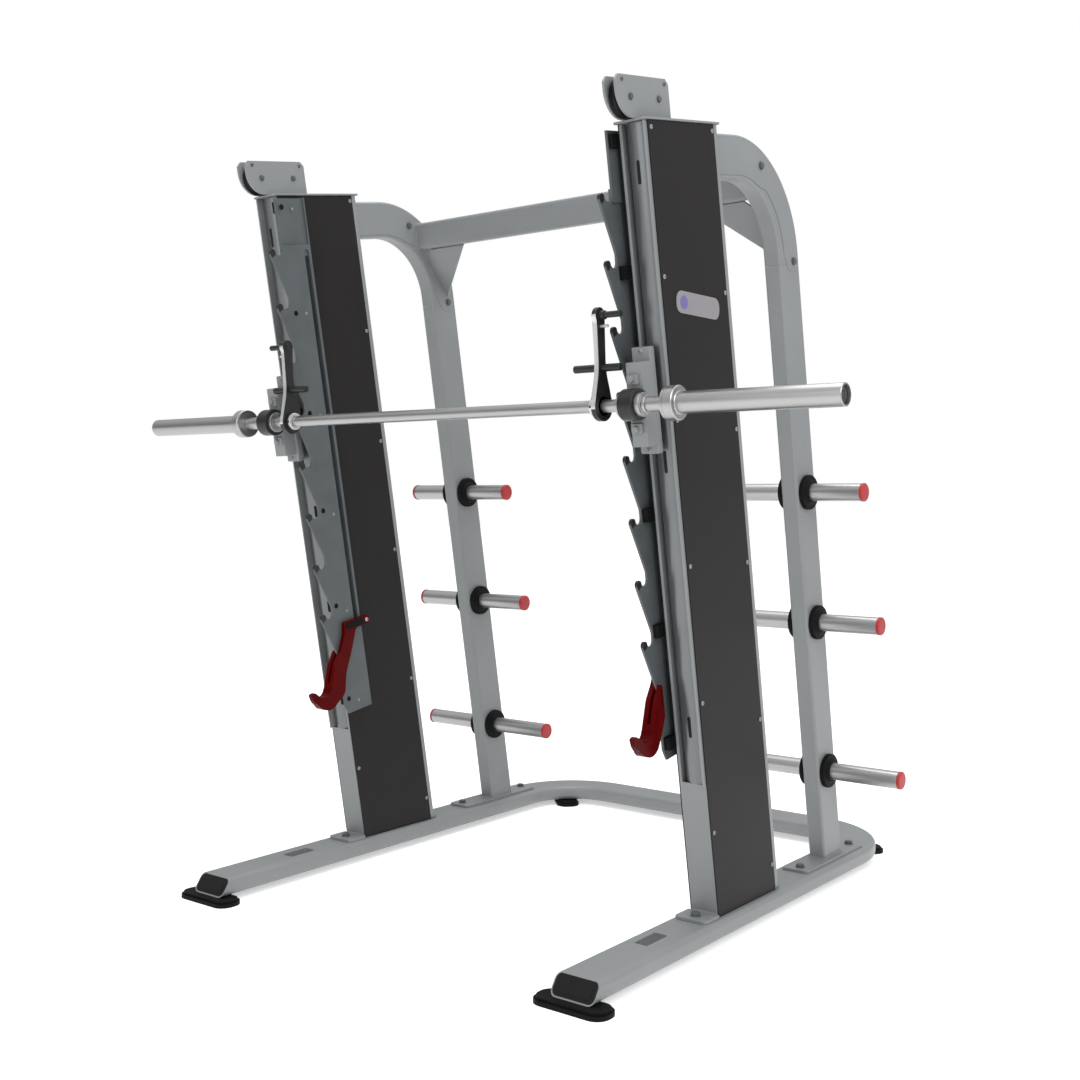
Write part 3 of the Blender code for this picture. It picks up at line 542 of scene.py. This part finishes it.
def build_feet(side_name, side):
    """Rubber feet with a wide tread and a narrower shoulder under the rail."""
    low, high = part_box("front_foot_right")
    length, width, height = high.x - low.x, high.y - low.y, high.z - low.z
    front_place = Matrix.Translation(((low.x + high.x) / 2, (low.y + high.y) / 2, low.z))
    rear_place = Matrix.Translation((*REAR_FOOT_PLACE, low.z)) @ Matrix.Rotation(pi / 4, 4, "Z")
    for name, place in (("front_foot_", front_place), ("rear_foot_", rear_place)):
        foot = bmesh.new()
        tread = rounded_rectangle(length, width, 0.034, 12)
        shoulder = rounded_rectangle(length - 0.012, width - 0.012, 0.029, 12)
        add_plate(foot, tread, height * 0.6, place @ Matrix.Translation((0, 0, height * 0.3)), 0.002)
        add_plate(foot, shoulder, height * 0.5, place @ Matrix.Translation((0, 0, height * 0.75)), 0.0025)
        piece(name + side_name + "_rubber", foot, "rubber", side=side, place=LEVEL,
              replaces=[name + side_name])


def level_cut(n_range, x_range, z, spacing=0.0045):
    """The outline of a leaning box-shaped tube where it meets a level plane, in world coordinates."""
    corners = []
    for x, n in ((x_range[0], n_range[0]), (x_range[1], n_range[0]), (x_range[1], n_range[1]),
                 (x_range[0], n_range[1])):
        w = (z - n * sin(LEAN)) / cos(LEAN)
        corners.append(tuple(LEANING @ Vector((x, n, w))))
    return resampled(corners, spacing)


def build_foot_fasteners(side_name, side, rail_top):
    """Weld beads round the feet of the column and the upright, with the bolts beside them."""
    top = rail_top + FOOT_PLATE_THICKNESS
    welds = bmesh.new()
    column_foot = level_cut((0.0, COLUMN_DEPTH - 0.004), (COLUMN_X + 0.006, COLUMN_X + 0.0755), top)
    middle = ARCH_CENTRE[0] + ARCH_RADIUS
    half_width, half_depth = TUBE_SIZE[0] / 2, TUBE_SIZE[1] / 2
    upright_foot = level_cut((middle - half_depth, middle + half_depth),
                             (TUBE_X - half_width, TUBE_X + half_width), top)
    for path in (column_foot, upright_foot):
        add_bead(welds, path, 0.0026)
    piece("foot_welds_" + side_name, welds, "grey_paint", side=side, place=LEVEL)

    bolts = bmesh.new()
    for x, y in FOOT_BOLTS:
        add_hex_bolt(bolts, Matrix.Translation((x, y, top)), 0.019, 0.008)
    piece("foot_bolts_" + side_name, bolts, "rack_paint", side=side, place=LEVEL)


# ---------------------------------------------------------------------------------------- columns

def build_column(side_name, side):
    """The post, channel, panels and cap of one column, with their screws, its guide cover and its badge."""
    for name, slot in (("guide_post_", "grey_paint"), ("rear_channel_", "grey_paint"),
                       ("inner_panel_", "panel_paint"), ("outer_panel_", "panel_paint"),
                       ("column_cap_", "grey_paint")):
        softened(name + side_name, slot)

    screws = bmesh.new()
    for x, direction in ((OUTER_FACE, (1, 0, 0)), (COLUMN_X, (-1, 0, 0))):
        for w in PANEL_SCREWS_REAR:
            add_button_screw(screws, facing((x, PANEL_SCREW_REAR_N, w), direction), PANEL_SCREW_RADIUS)
    front_screws = [(OUTER_FACE, w, (1, 0, 0)) for w in PANEL_SCREWS_FRONT]
    front_screws.append((COLUMN_X, PANEL_SCREWS_FRONT[-1], (-1, 0, 0)))
    for x, w, direction in front_screws:
        add_button_screw(screws, facing((x, PANEL_SCREW_FRONT_N, w), direction), PANEL_SCREW_RADIUS)
    for n in (0.165, 0.290):
        add_button_screw(screws, facing((COLUMN_X + 0.041, n, CAP_TOP), (0, 0, 1)), 0.009, 0.005)
    piece("panel_screws_" + side_name, screws, "grey_paint", side=side)
    build_guide_cover(side_name, side)
    build_badge(side_name, side)


def build_guide_cover(side_name, side):
    """A curved sheet over the guide; the shade inside its three slots is painted as dark plates on it."""
    left, right, rise, sheet = 0.017, 0.0735, 0.012, 0.0025
    radius = ((right - left) ** 2 / 4 + rise ** 2) / (2 * rise)
    half_angle = degrees(asin((right - left) / 2 / radius))
    centre = (COLUMN_X + (left + right) / 2, radius)
    outline = arc(centre, radius, 270 - half_angle, 270 + half_angle, 28)
    outline += arc(centre, radius - sheet, 270 + half_angle, 270 - half_angle, 28)
    cover = bmesh.new()
    height = COLUMN_TOP - GROOVE_BOTTOM - 0.001
    add_plate(cover, outline, height, Matrix.Translation((0, 0, GROOVE_BOTTOM + height / 2)), 0.0004)
    piece("guide_cover_" + side_name + "_sheet", cover, "cover_paint", side=side,
          replaces=["guide_cover_" + side_name])
    # Painted shade: dark plates stand for the shadow inside each slot.
    slot_shades = bmesh.new()
    for w in COVER_SLOTS:
        slot = rounded_rectangle(0.0085, 0.054, 0.0042)
        add_plate(slot_shades, slot, 0.0030, facing((centre[0] + 0.001, 0.0012, w), (0, -1, 0)), 0.0004)
    piece("guide_slot_shades_" + side_name, slot_shades, "black_plastic", side=side)


def build_badge(side_name, side):
    """A blank, level oblong badge with a plain round spot at its front end."""
    badge = bmesh.new()
    height = BADGE["height"]
    middle = Matrix.Translation((OUTER_FACE + 0.0008, BADGE["n"], BADGE["w"]))
    middle = middle @ Matrix.Rotation(-LEAN, 4, "X")
    outline = rounded_rectangle(BADGE["length"], height, height / 2 - 0.004, 12)
    add_plate(badge, outline, 0.0016, outline_at(0, middle), 0.0005)
    piece("badge_" + side_name, badge, "cover_paint", side=side, look=BADGE_SILVER)
    spot = bmesh.new()
    spot_place = middle @ facing((0.0006, -BADGE["length"] / 2 + height * 0.62, 0), (1, 0, 0))
    add_turned(spot, [(0, 0), (0, 0.0165), (0.0008, 0.0160), (0.0010, 0)], spot_place, 40)
    piece("badge_spot_" + side_name, spot, "black_plastic", side=side, look=BADGE_BLUE)


def build_pulleys(side_name, side):
    """The two plates of a column's pulley bracket with their bolts, and the grooved wheels between them."""
    for cheek, direction in (("inner", -1), ("outer", 1)):
        softened(f"pulley_bracket_{cheek}_{side_name}", "grey_paint", bevel=0.0012)
        bolts = bmesh.new()
        face = PULLEY_X + direction * (BRACKET_FACE + BRACKET_PLATE)
        for n in PULLEY_N.values():
            add_hex_bolt(bolts, facing((face, n, PULLEY_W), (direction, 0, 0)), 0.012, 0.0035)
        for n, w in ((-0.056, 2.071), (0.119, 2.070)):
            add_button_screw(bolts, facing((face, n, w), (direction, 0, 0)), 0.0055)
        piece(f"bracket_bolts_{cheek}_{side_name}", bolts, "rack_paint", side=side)
    for name, n in PULLEY_N.items():
        wheel = bmesh.new()
        groove_centre = 0.0425
        groove = arc((0, groove_centre), 0.0065, 150, 30, 8)
        rim = [(x, groove_centre - (radius - groove_centre)) for x, radius in groove]
        hub_half = [(0.009, 0.0440), (0.009, 0.038), (0.004, 0.036), (0.004, 0.014), (0.010, 0.012),
                    (0.010, 0.0068)]
        mirrored_half = [(-x, radius) for x, radius in reversed(hub_half)]
        profile = mirrored_half[-1:] + rim + hub_half + mirrored_half[:-1]
        hub = facing((PULLEY_X, n, PULLEY_W), (1, 0, 0))
        add_turned(wheel, profile, hub, 56, hollow=True)
        for i in range(6):
            spoke = hub @ Matrix.Rotation(2 * pi * i / 6, 4, "Z") @ Matrix.Translation((0.025, 0, 0))
            add_block(wheel, (0.024, 0.004, 0.016), spoke, 0.0008)
        body = f"{name}_pulley_{side_name}_body"
        piece(f"{name}_pulley_{side_name}_wheel", wheel, "black_plastic", body, side,
              replaces=[f"{name}_pulley_{side_name}"])


# ---------------------------------------------------------------------------------------- racks

def build_rack(side_name, side):
    """The toothed rack, dark plates over its tooth tips, its spacers, and the flush screws of both."""
    softened("hook_rack_" + side_name, "rack_paint", bevel=0.0007)
    # Dark plates over the rounded lips of the teeth, in the black steel finish.
    dark_tips = bmesh.new()
    for i in range(TOOTH_COUNT):
        tip = FIRST_TIP + TOOTH_PITCH * i
        centre = (LIP_FRONT_N + LIP_RADIUS, tip - LIP_RADIUS)
        outline = arc(centre, LIP_RADIUS + 0.0006, 205, 25, 14)
        outline += [(centre[0] + LIP_RADIUS * 0.9, tip - 0.016),
                    (centre[0] - LIP_RADIUS * 0.5, tip - 0.023)]
        add_plate(dark_tips, outline, RACK_THICKNESS + 0.0016, outline_at(RACK_MIDDLE), 0.0006)
    piece("dark_tooth_tips_" + side_name, dark_tips, "black_steel", side=side)

    spacers = bmesh.new()
    for w in RACK_SPACERS:
        middle = (RACK_FACE + RACK_THICKNESS + 0.0082, RACK_SPACER_N, w)
        add_block(spacers, (0.0165, 0.028, 0.032), Matrix.Translation(middle), 0.0008)
        flush_head = [(0, 0), (0, 0.0075), (0.0004, 0.0075), (0.0008, 0.0070), (0.0008, 0)]
        add_turned(spacers, flush_head, facing((RACK_FACE, RACK_SPACER_N, w), (-1, 0, 0)), 32)
    piece("rack_spacers_" + side_name, spacers, "rubber", side=side)

    screws = bmesh.new()
    for w in RACK_SCREWS:
        add_button_screw(screws, facing((RACK_FACE, 0.029, w), (-1, 0, 0)), 0.0042, 0.0009)
    piece("rack_screws_" + side_name, screws, "grey_paint", side=side)


def build_stop(side_name, side):
    """A round-edged casting astride the rack, with its pin and a dark plate on its head, which is painted
    shade standing for the shadow inside the casting's open top.

    Arm and cheek meet in the hook, which narrows towards its lip.
    """
    front = [(-0.028, 0.668), (-0.056, 0.635), (-0.086, 0.566)]
    head = [(0.100, 0.722), (0.100, 0.748), (0.000, 0.748), (-0.004, 0.715)]
    arm_rear = [(-0.034, 0.540), (-0.018, 0.600), (0.014, 0.658), (0.044, 0.722)]
    cheek_rear = [(-0.048, 0.550), (-0.0275, 0.590), (-0.0275, 0.668)]
    arm = head + front + stop_hook(310) + arm_rear
    cheek = [(-0.030, 0.668)] + front[1:] + stop_hook(310) + cheek_rear
    bridge = [(-0.0785, 0.583)] + front[2:] + stop_hook(297)
    stop = bmesh.new()
    for outline, corner, x in ((arm, 0.008, STOP_ARM_X), (cheek, 0.006, STOP_CHEEK_X)):
        add_plate(stop, filleted(outline, corner), STOP_THICKNESS, outline_at(x), 0.0036, segments=4)
    add_plate(stop, bridge, 0.0265, outline_at(RACK_MIDDLE), 0.0004)
    taper_start, taper_length, narrowing = -0.104, 0.050, 0.62
    for vert in stop.verts:
        along_lip = min(1, max(0, (taper_start - vert.co.y) / taper_length))
        vert.co.x = RACK_MIDDLE + (vert.co.x - RACK_MIDDLE) * (1 - narrowing * along_lip)
    body = f"safety_stop_{side_name}_body"
    piece(f"safety_stop_{side_name}_casting", stop, "red_paint", body, side,
          replaces=["safety_stop_" + side_name])

    pin = bmesh.new()
    length, radius = 0.020, 0.0066
    add_turned(pin, [(0, 0), (0, radius), (length, radius), (length, 0)],
               facing((0.5535, 0.0615, STOP_PIN_W), (1, 0, 0)))
    add_button_screw(pin, facing((0.5428, 0.0905, STOP_PIN_W), (-1, 0, 0)), 0.0062, 0.0034)
    piece(f"stop_pin_{side_name}", pin, "chrome", body, side)
    # Painted shade: this dark plate on the head stands for the shadow inside the open top of the casting, and
    # has the rubber finish only for its darkness.
    head_shade = bmesh.new()
    head_shade_outline = rounded_rectangle(0.074, 0.019, 0.009, centre=(0.0415, STOP_PIN_W))
    add_plate(head_shade, head_shade_outline, 0.004, outline_at(0.5422), 0.0012)
    piece(f"stop_head_shade_{side_name}", head_shade, "rubber", body, side)


def stop_hook(last_angle):
    """The cradle, lip and rounded underside of a safety stop, up to an angle round the underside."""
    cradle = arc((-0.110, 0.572), 0.0235, 345, 215, 12)
    lip = filleted([(-0.140, 0.571), (-0.156, 0.569), (-0.148, 0.545)], 0.005, 3, closed=False)
    return cradle + lip + arc((-0.098, 0.552), 0.043, 205, last_angle, 12)


# ---------------------------------------------------------------------------------------- bar

def build_carriage(side_name, side):
    """The carriage with its lugs and bolts, and the housing of the bar's bearing."""
    softened("carriage_" + side_name, "grey_paint", "bar_carriage", 0.0012)
    details = bmesh.new()
    lug_x = HOUSING_X - 0.004
    for w, direction in ((BAR_W + 0.060, 1), (BAR_W - 0.060, -1)):
        lug = (lug_x, -0.0875, w - direction * 0.004)
        add_block(details, (0.030, 0.012, 0.024), Matrix.Translation(lug), 0.003)
        bolt = facing((lug_x, -0.0930, w - direction * 0.002), (0, -1, 0))
        add_hex_bolt(details, bolt, 0.015, 0.006)
    for w in (1.474, 1.246):
        add_button_screw(details, facing((HOUSING_X - 0.005, -0.045, w), (0, -1, 0)), 0.0065, 0.0034)
    piece("carriage_bolts_" + side_name, details, "grey_paint", "bar_carriage", side)

    housing = bmesh.new()
    half = 0.0197
    recess = half - 0.003
    inner = BAR_RADIUS + 0.0004
    profile = [(half, HOUSING_RADIUS), (-half, HOUSING_RADIUS), (-half, inner + 0.009),
               (-recess, inner + 0.008), (-recess, inner), (recess, inner), (recess, inner + 0.008),
               (half, inner + 0.009)]
    add_turned(housing, profile, facing((HOUSING_X, BAR_N, BAR_W), (1, 0, 0)), 64, hollow=True,
               corner=0.0022)
    piece("bearing_" + side_name, housing, "black_steel", "bar_carriage", side,
          replaces=["bearing_housing_" + side_name])


def build_bar():
    """The shaft with its thicker ends, and on each side the rings and the hexagonal nut."""
    half = [(1.127, 0), (1.127, 0.0158), (1.1258, 0.017), (0.653, 0.017), (0.653, BAR_RADIUS),
            (0.640, BAR_RADIUS)]
    profile = half + [(-x, radius) for x, radius in reversed(half)]
    bar = bmesh.new()
    add_turned(bar, profile, facing((0, BAR_N, BAR_W), (1, 0, 0)), 64)
    for side in SIDES.values():
        for start, end, radius in ((0.640, 0.653, 0.028), (0.5895, 0.5998, 0.028), (0.656, 0.664, 0.0215)):
            middle = facing((side * (start + end) / 2, BAR_N, BAR_W), (1, 0, 0))
            reach = (end - start) / 2
            ring = [(reach, BAR_RADIUS), (reach, radius), (-reach, radius), (-reach, BAR_RADIUS)]
            add_turned(bar, ring, middle, 48, hollow=True, corner=0.0015)
        nut = facing((side * 0.6475, BAR_N, BAR_W), (1, 0, 0))
        hexagon = arc((0, 0), 0.0262, 0, 300, 5)
        add_plate(bar, hexagon, 0.017, nut, 0.0015)
    piece("bar_shaft", bar, "chrome", "bar_assembly", replaces=["bar"])


def build_sleeve(side_name, side):
    """A weight sleeve with a chamfered collar and a recessed end cap inside its open mouth."""
    end, collar_end, start, bore = 1.142, 0.747, 0.715, 0.0176
    profile = [(end, 0.0208), (end, 0.0238), (end - 0.0012, SLEEVE_RADIUS),
               (collar_end + 0.002, SLEEVE_RADIUS), (collar_end, 0.0270),
               (collar_end, COLLAR_RADIUS - 0.002), (collar_end - 0.002, COLLAR_RADIUS),
               (start + 0.008, COLLAR_RADIUS), (start + 0.006, COLLAR_RADIUS - 0.0015),
               (start, COLLAR_RADIUS - 0.0015), (start, bore), (end - 0.0145, bore), (end - 0.0140, 0.0205)]
    sleeve = bmesh.new()
    add_turned(sleeve, profile, facing((0, BAR_N, BAR_W), (1, 0, 0)), 72, hollow=True)
    body = f"sleeve_{side_name}_body"
    piece(f"sleeve_{side_name}_tube", sleeve, "chrome", body, side, replaces=["sleeve_" + side_name])
    cap = bmesh.new()
    place = facing((end - 0.0125, BAR_N, BAR_W), (1, 0, 0))
    add_turned(cap, [(0, 0), (0, 0.0200), (0.004, 0.0200), (0.006, 0.0180), (0.006, 0.0100),
                     (0.0045, 0.0090), (0.0045, 0)], place, 48)
    piece(f"sleeve_{side_name}_end", cap, "cast_iron", body, side)


def build_lever(side_name, side):
    """The hook lever: clamp, arm with a painted highlight along its front edge, round head with its peg, and
    handle.
    """
    arm_frame = Matrix.Translation((0, BAR_N, BAR_W)) @ Matrix.Rotation(-LEVER_REST, 4, "X")
    half_width = 0.0135
    thickness = LEVER_OUTER_X - LEVER_INNER_X
    middle = outline_at((LEVER_INNER_X + LEVER_OUTER_X) / 2, arm_frame)
    outline = arc((0, 0), LEVER_CLAMP_RADIUS, 150, 390, 40)
    outline += filleted([outline[-1], (half_width, 0.085), (half_width, 0.190)], 0.02, closed=False)[1:]
    outline += arc((0, PEG_ARM), LEVER_HEAD_RADIUS, -40, 220, 24)
    outline += filleted([(-half_width, 0.190), (-half_width, 0.085), outline[0]], 0.02, closed=False)[:-1]
    lever = bmesh.new()
    add_plate(lever, outline, thickness, middle, 0.0018, 3)
    rods = {"peg": (LEVER_INNER_X - 0.002, 0.598, 0.0075, PEG_ARM),
            "handle": (0.462, 0.592, 0.009, HANDLE_ARM),
            "peg_shoulder": (LEVER_OUTER_X - 0.001, 0.5545, 0.0105, PEG_ARM),
            "clamp_ring": (0.522, LEVER_OUTER_X, 0.024, 0)}
    for start, end, radius, arm in rods.values():
        rod = arm_frame @ facing((start, 0, arm), (1, 0, 0))
        length = end - start
        add_turned(lever, [(0, 0), (0, radius), (length, radius), (length, 0)], rod, 40, corner=0.0016)
    piece(f"hook_lever_{side_name}_arm", lever, "black_steel", "bar_assembly", side,
          replaces=["hook_lever_" + side_name])

    # Painted highlight: a strip of lighter steel along the arm's front edge stands for the light falling on
    # that edge. The ring and the small pin in this piece share the lighter steel.
    bright = bmesh.new()
    front_edge = arc((0, PEG_ARM), LEVER_HEAD_RADIUS, 172, 220, 8)
    arm_edge = [(-half_width, 0.190), (-half_width, 0.085)] + arc((0, 0), LEVER_CLAMP_RADIUS, 150, 190, 10)
    front_edge += filleted(arm_edge, 0.02, closed=False)
    strip = [(n - 0.0012, w) for n, w in front_edge] + [(n + 0.0020, w) for n, w in reversed(front_edge)]
    add_plate(bright, strip, thickness - 0.0012, middle, 0.0005)
    ring_start = arm_frame @ facing((0.5135, 0, 0), (1, 0, 0))
    ring = [(0.008, BAR_RADIUS + 0.0002), (0.008, 0.0235), (0, 0.0235), (0, BAR_RADIUS + 0.0002)]
    add_turned(bright, ring, ring_start, 48, hollow=True, corner=0.0015)
    add_turned(bright, [(0, 0), (0, 0.0035), (0.024, 0.0035), (0.024, 0)],
               arm_frame @ facing((LEVER_OUTER_X - 0.004, 0, 0.183), (1, 0, 0)), 24)
    piece("lever_bright_edge_" + side_name, bright, "chrome", "bar_assembly", side, look=LEVER_STEEL_AND_HIGHLIGHT)
    screws = bmesh.new()
    add_button_screw(screws, arm_frame @ facing((0.5178, -0.0232, 0), (0, -1, 0)), 0.0032, 0.0022)
    add_button_screw(screws, arm_frame @ facing((LEVER_INNER_X, 0, 0), (-1, 0, 0)), 0.0032, 0.0022)
    piece("lever_screws_" + side_name, screws, "black_steel", "bar_assembly", side)


# ---------------------------------------------------------------------------------------- rear frame

def build_rear_frame(side_name, side):
    """The arch from the column, the upright on its foot plate, and the bolts and gusset that join them."""
    middle_n = ARCH_CENTRE[0] + ARCH_RADIUS
    down = ((1, 0, 0), (0, -1, 0), (0, 0, -1))
    start = (TUBE_X, COLUMN_DEPTH + 0.0003, ARCH_CENTRE[1] + ARCH_RADIUS)
    stations = [axes((1, 0, 0), (0, 0, -1), (0, 1, 0), start)]
    bend_steps = 36
    for i in range(bend_steps + 1):
        turn = pi / 2 * i / bend_steps
        centre = (TUBE_X, ARCH_CENTRE[0] + ARCH_RADIUS * sin(turn),
                  ARCH_CENTRE[1] + ARCH_RADIUS * cos(turn))
        stations.append(axes((1, 0, 0), (0, -sin(turn), -cos(turn)), (0, cos(turn), -sin(turn)), centre))
    stations.append(axes(*down, (TUBE_X, middle_n, ARCH_END_W + 0.0002)))
    arch = bmesh.new()
    add_tube(arch, *TUBE_SIZE, TUBE_RADIUS, stations)
    piece("arch_" + side_name + "_tube", arch, "grey_paint", side=side, replaces=["arch_" + side_name])

    foot_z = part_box("base_rail_right")[1].z + FOOT_PLATE_THICKNESS
    foot_w = (foot_z - 0.004 - middle_n * sin(LEAN)) / cos(LEAN)
    stations = [axes(*down, (TUBE_X, middle_n, ARCH_END_W - 0.0002)),
                axes((1, 0, 0), (0, -1, tan(LEAN)), (0, 0, -1), (TUBE_X, middle_n, foot_w))]
    upright = bmesh.new()
    add_tube(upright, *TUBE_SIZE, TUBE_RADIUS, stations)
    plate_middle = (0.623, 0.400, foot_z - FOOT_PLATE_THICKNESS / 2)
    add_plate(upright, rounded_rectangle(0.078, 0.370, 0.012), FOOT_PLATE_THICKNESS - 0.0004,
              LEANING.inverted() @ Matrix.Translation(plate_middle), 0.0012)
    piece("upright_" + side_name + "_tube", upright, "grey_paint", side=side,
          replaces=["upright_" + side_name])
    build_arch_cheeks(side_name, side)

    bolts = bmesh.new()
    for x, direction in ((TUBE_X + 0.0262, 1), (TUBE_X - 0.0262, -1)):
        for n, w in ((0.542, 1.893), (0.684, 1.646)):
            add_hex_bolt(bolts, facing((x, n, w), (direction, 0, 0)), 0.016, 0.005)
    piece("arch_bolts_" + side_name, bolts, "rack_paint", side=side)
    softened("gusset_" + side_name, "grey_paint", bevel=0.0012)


def build_arch_cheeks(side_name, side):
    """A thin plate on each side face of the arch, narrow round the bend, with a tab on the upright."""
    outer, inner, narrow = 0.2915, 0.2010, 0.2150
    start_n, tab_end = COLUMN_DEPTH + 0.002, 1.620
    centre_n, centre_w = ARCH_CENTRE
    outline = [(start_n, centre_w + outer)] + arc(ARCH_CENTRE, outer, 90, 0, 44)
    tab = [(centre_n + outer, centre_w), (centre_n + outer, tab_end), (centre_n + narrow + 0.018, tab_end),
           (centre_n + narrow, centre_w)]
    outline += filleted(tab, 0.020, 6, closed=False)
    outline += arc(ARCH_CENTRE, narrow, 3, 50, 28) + arc(ARCH_CENTRE, inner, 60, 90, 18)
    outline += [(start_n, centre_w + inner)]
    cheeks = bmesh.new()
    for direction in (1, -1):
        x = TUBE_X + direction * (TUBE_SIZE[0] / 2 + 0.0005)
        add_plate(cheeks, outline, 0.0018, outline_at(x), 0.0006)
    piece("arch_cheeks_" + side_name, cheeks, "grey_paint", side=side)


def build_crossbar():
    """The tube between the two arches, with a weld bead round each end."""
    half_length = TUBE_X - TUBE_SIZE[0] / 2 - 0.0003
    along_x = ((0, 1, 0), (0, 0, 1), (1, 0, 0))
    stations = [axes(*along_x, (side * half_length, *CROSSBAR_PLACE)) for side in (-1, 1)]
    crossbar = bmesh.new()
    add_tube(crossbar, *CROSSBAR_SECTION, 0.010, stations)
    piece("crossbar_tube", crossbar, "grey_paint", replaces=["crossbar"])
    welds = bmesh.new()
    outline = rounded_rectangle(CROSSBAR_SECTION[0] + 0.001, CROSSBAR_SECTION[1] + 0.001, 0.010)
    for side in (-1, 1):
        x = side * (half_length - 0.0012)
        path = [(x, CROSSBAR_PLACE[0] + n, CROSSBAR_PLACE[1] + w) for n, w in outline]
        add_bead(welds, resampled(path, 0.0045), 0.0022)
    piece("crossbar_welds", welds, "grey_paint")


def build_horn(name, side_name, side, w, inner_end, outer_end):
    """A storage rod through the upright, with two rounded rubber collars and a red cap on each end."""
    face = TUBE_SIZE[0] / 2 + 0.0003
    axis = facing((0, HORN_N, w), (1, 0, 0))
    rod = bmesh.new()
    start, end = inner_end + HORN_CAP, outer_end - HORN_CAP
    add_turned(rod, [(start, 0), (start, HORN_RADIUS), (end, HORN_RADIUS), (end, 0)], axis, 56, corner=0.001)
    piece(f"horn_{name}_{side_name}_rod", rod, "chrome", side=side,
          replaces=[f"storage_horn_{name}_{side_name}"])
    collars = bmesh.new()
    for direction in (1, -1):
        base = TUBE_X + direction * face
        ring = [(base, HORN_RADIUS - 0.001), (base, 0.048), (base + direction * 0.014, 0.048),
                (base + direction * 0.014, 0.033), (base + direction * 0.020, 0.030),
                (base + direction * 0.020, HORN_RADIUS - 0.001)]
        add_turned(collars, ring, axis, 56, hollow=True, corner=0.004)
    piece(f"horn_{name}_{side_name}_collars", collars, "rubber", side=side)
    caps = bmesh.new()
    for at, direction in ((outer_end, 1), (inner_end, -1)):
        profile = [(at - direction * HORN_CAP, 0), (at - direction * HORN_CAP, HORN_RADIUS + 0.0008),
                   (at - direction * 0.003, HORN_RADIUS + 0.0008),
                   (at - direction * 0.0006, HORN_RADIUS - 0.002), (at, HORN_RADIUS - 0.006), (at, 0)]
        add_turned(caps, profile, axis, 56)
    piece(f"horn_{name}_{side_name}_caps", caps, "red_paint", side=side, look=RED_RUBBER)


# ---------------------------------------------------------------------------------------- studio

def area_light(name, energy, size, place, target):
    """A square light at a place, turned to face a target."""
    light = bpy.data.lights.new(name, "AREA")
    light.energy = energy
    light.size = size
    obj = bpy.data.objects.new(name, light)
    bpy.context.scene.collection.objects.link(obj)
    obj.location = place
    obj.rotation_euler = (Vector(target) - Vector(place)).to_track_quat("-Z", "Y").to_euler()


def studio_world():
    """A white backdrop to the camera. As a light it is bright above and to the right, and dim to the left."""
    world = bpy.data.worlds.new("studio")
    world.use_nodes = True
    nodes = world.node_tree.nodes
    link = world.node_tree.links.new
    direction = nodes.new("ShaderNodeTexCoord")
    parts = nodes.new("ShaderNodeSeparateXYZ")
    link(direction.outputs["Generated"], parts.inputs["Vector"])
    from_right = nodes.new("ShaderNodeMapRange")
    from_right.inputs["From Min"].default_value = -0.9
    from_right.inputs["From Max"].default_value = 0.5
    from_right.inputs["To Min"].default_value = 0.05
    from_right.inputs["To Max"].default_value = 0.42
    link(parts.outputs["X"], from_right.inputs["Value"])
    from_above = nodes.new("ShaderNodeMapRange")
    from_above.inputs["To Min"].default_value = 0.0
    from_above.inputs["To Max"].default_value = 1.05
    link(parts.outputs["Z"], from_above.inputs["Value"])
    light = nodes.new("ShaderNodeMath")
    light.operation = "ADD"
    link(from_right.outputs["Result"], light.inputs[0])
    link(from_above.outputs["Result"], light.inputs[1])
    ray = nodes.new("ShaderNodeLightPath")
    seen = nodes.new("ShaderNodeMix")
    link(ray.outputs["Is Camera Ray"], seen.inputs["Factor"])
    link(light.outputs["Value"], seen.inputs["A"])
    seen.inputs["B"].default_value = 1.0
    link(seen.outputs["Result"], nodes["Background"].inputs["Strength"])
    nodes["Background"].inputs["Color"].default_value = (1, 1, 1, 1)
    return world


def floor_material():
    """Pale and slightly luminous, so that it meets the backdrop without a line but takes soft shadows."""
    material = node_material("pale_floor", (0.80, 0.80, 0.80), 0.8, specular=0.0, mottle=0.01)
    shader = material.node_tree.nodes["Principled BSDF"]
    shader.inputs["Emission Color"].default_value = (1, 1, 1, 1)
    shader.inputs["Emission Strength"].default_value = 0.42
    return material


def build_studio():
    """The backdrop, the floor, three lights and the camera."""
    scene = bpy.context.scene
    scene.view_settings.view_transform = "Standard"
    scene.world = studio_world()

    mesh = bpy.data.meshes.new("floor")
    reach = 30
    corners = [(-reach, -reach, 0), (reach, -reach, 0), (reach, reach, 0), (-reach, reach, 0)]
    mesh.from_pydata(corners, [], [(0, 1, 2, 3)])
    mesh.materials.append(floor_material())
    floor = bpy.data.objects.new("floor", mesh)
    scene.collection.objects.link(floor)

    middle = (0, 0, 1.0)
    area_light("key", 78, 2.5, (4.4, -2.0, 3.6), middle)
    area_light("front", 50, 3.0, (0.5, -5.0, 2.6), middle)
    area_light("top", 90, 3.0, (0, 0.5, 5.0), middle)

    camera = bpy.data.objects.new("camera", bpy.data.cameras.new("camera"))
    camera.location = CAMERA_PLACE
    camera.rotation_euler = [radians(angle) for angle in CAMERA_TURN]
    camera.data.lens = LENS
    camera.data.sensor_width = 36
    scene.collection.objects.link(camera)
    scene.camera = camera


# ---------------------------------------------------------------------------------------- assembly

build_base()
build_bar()
build_crossbar()
for side_name, side in SIDES.items():
    build_column(side_name, side)
    build_pulleys(side_name, side)
    build_rack(side_name, side)
    build_stop(side_name, side)
    build_carriage(side_name, side)
    build_sleeve(side_name, side)
    build_lever(side_name, side)
    build_rear_frame(side_name, side)
    for name, (w, inner_end, outer_end) in HORNS.items():
        build_horn(name, side_name, side, w, inner_end, outer_end)
    for node, slot in (("guide_rod_", "chrome"), ("counterweight_", "cast_iron")):
        NODES[node + side_name].data.materials.clear()
        NODES[node + side_name].data.materials.append(FINISHES[slot])
build_studio()
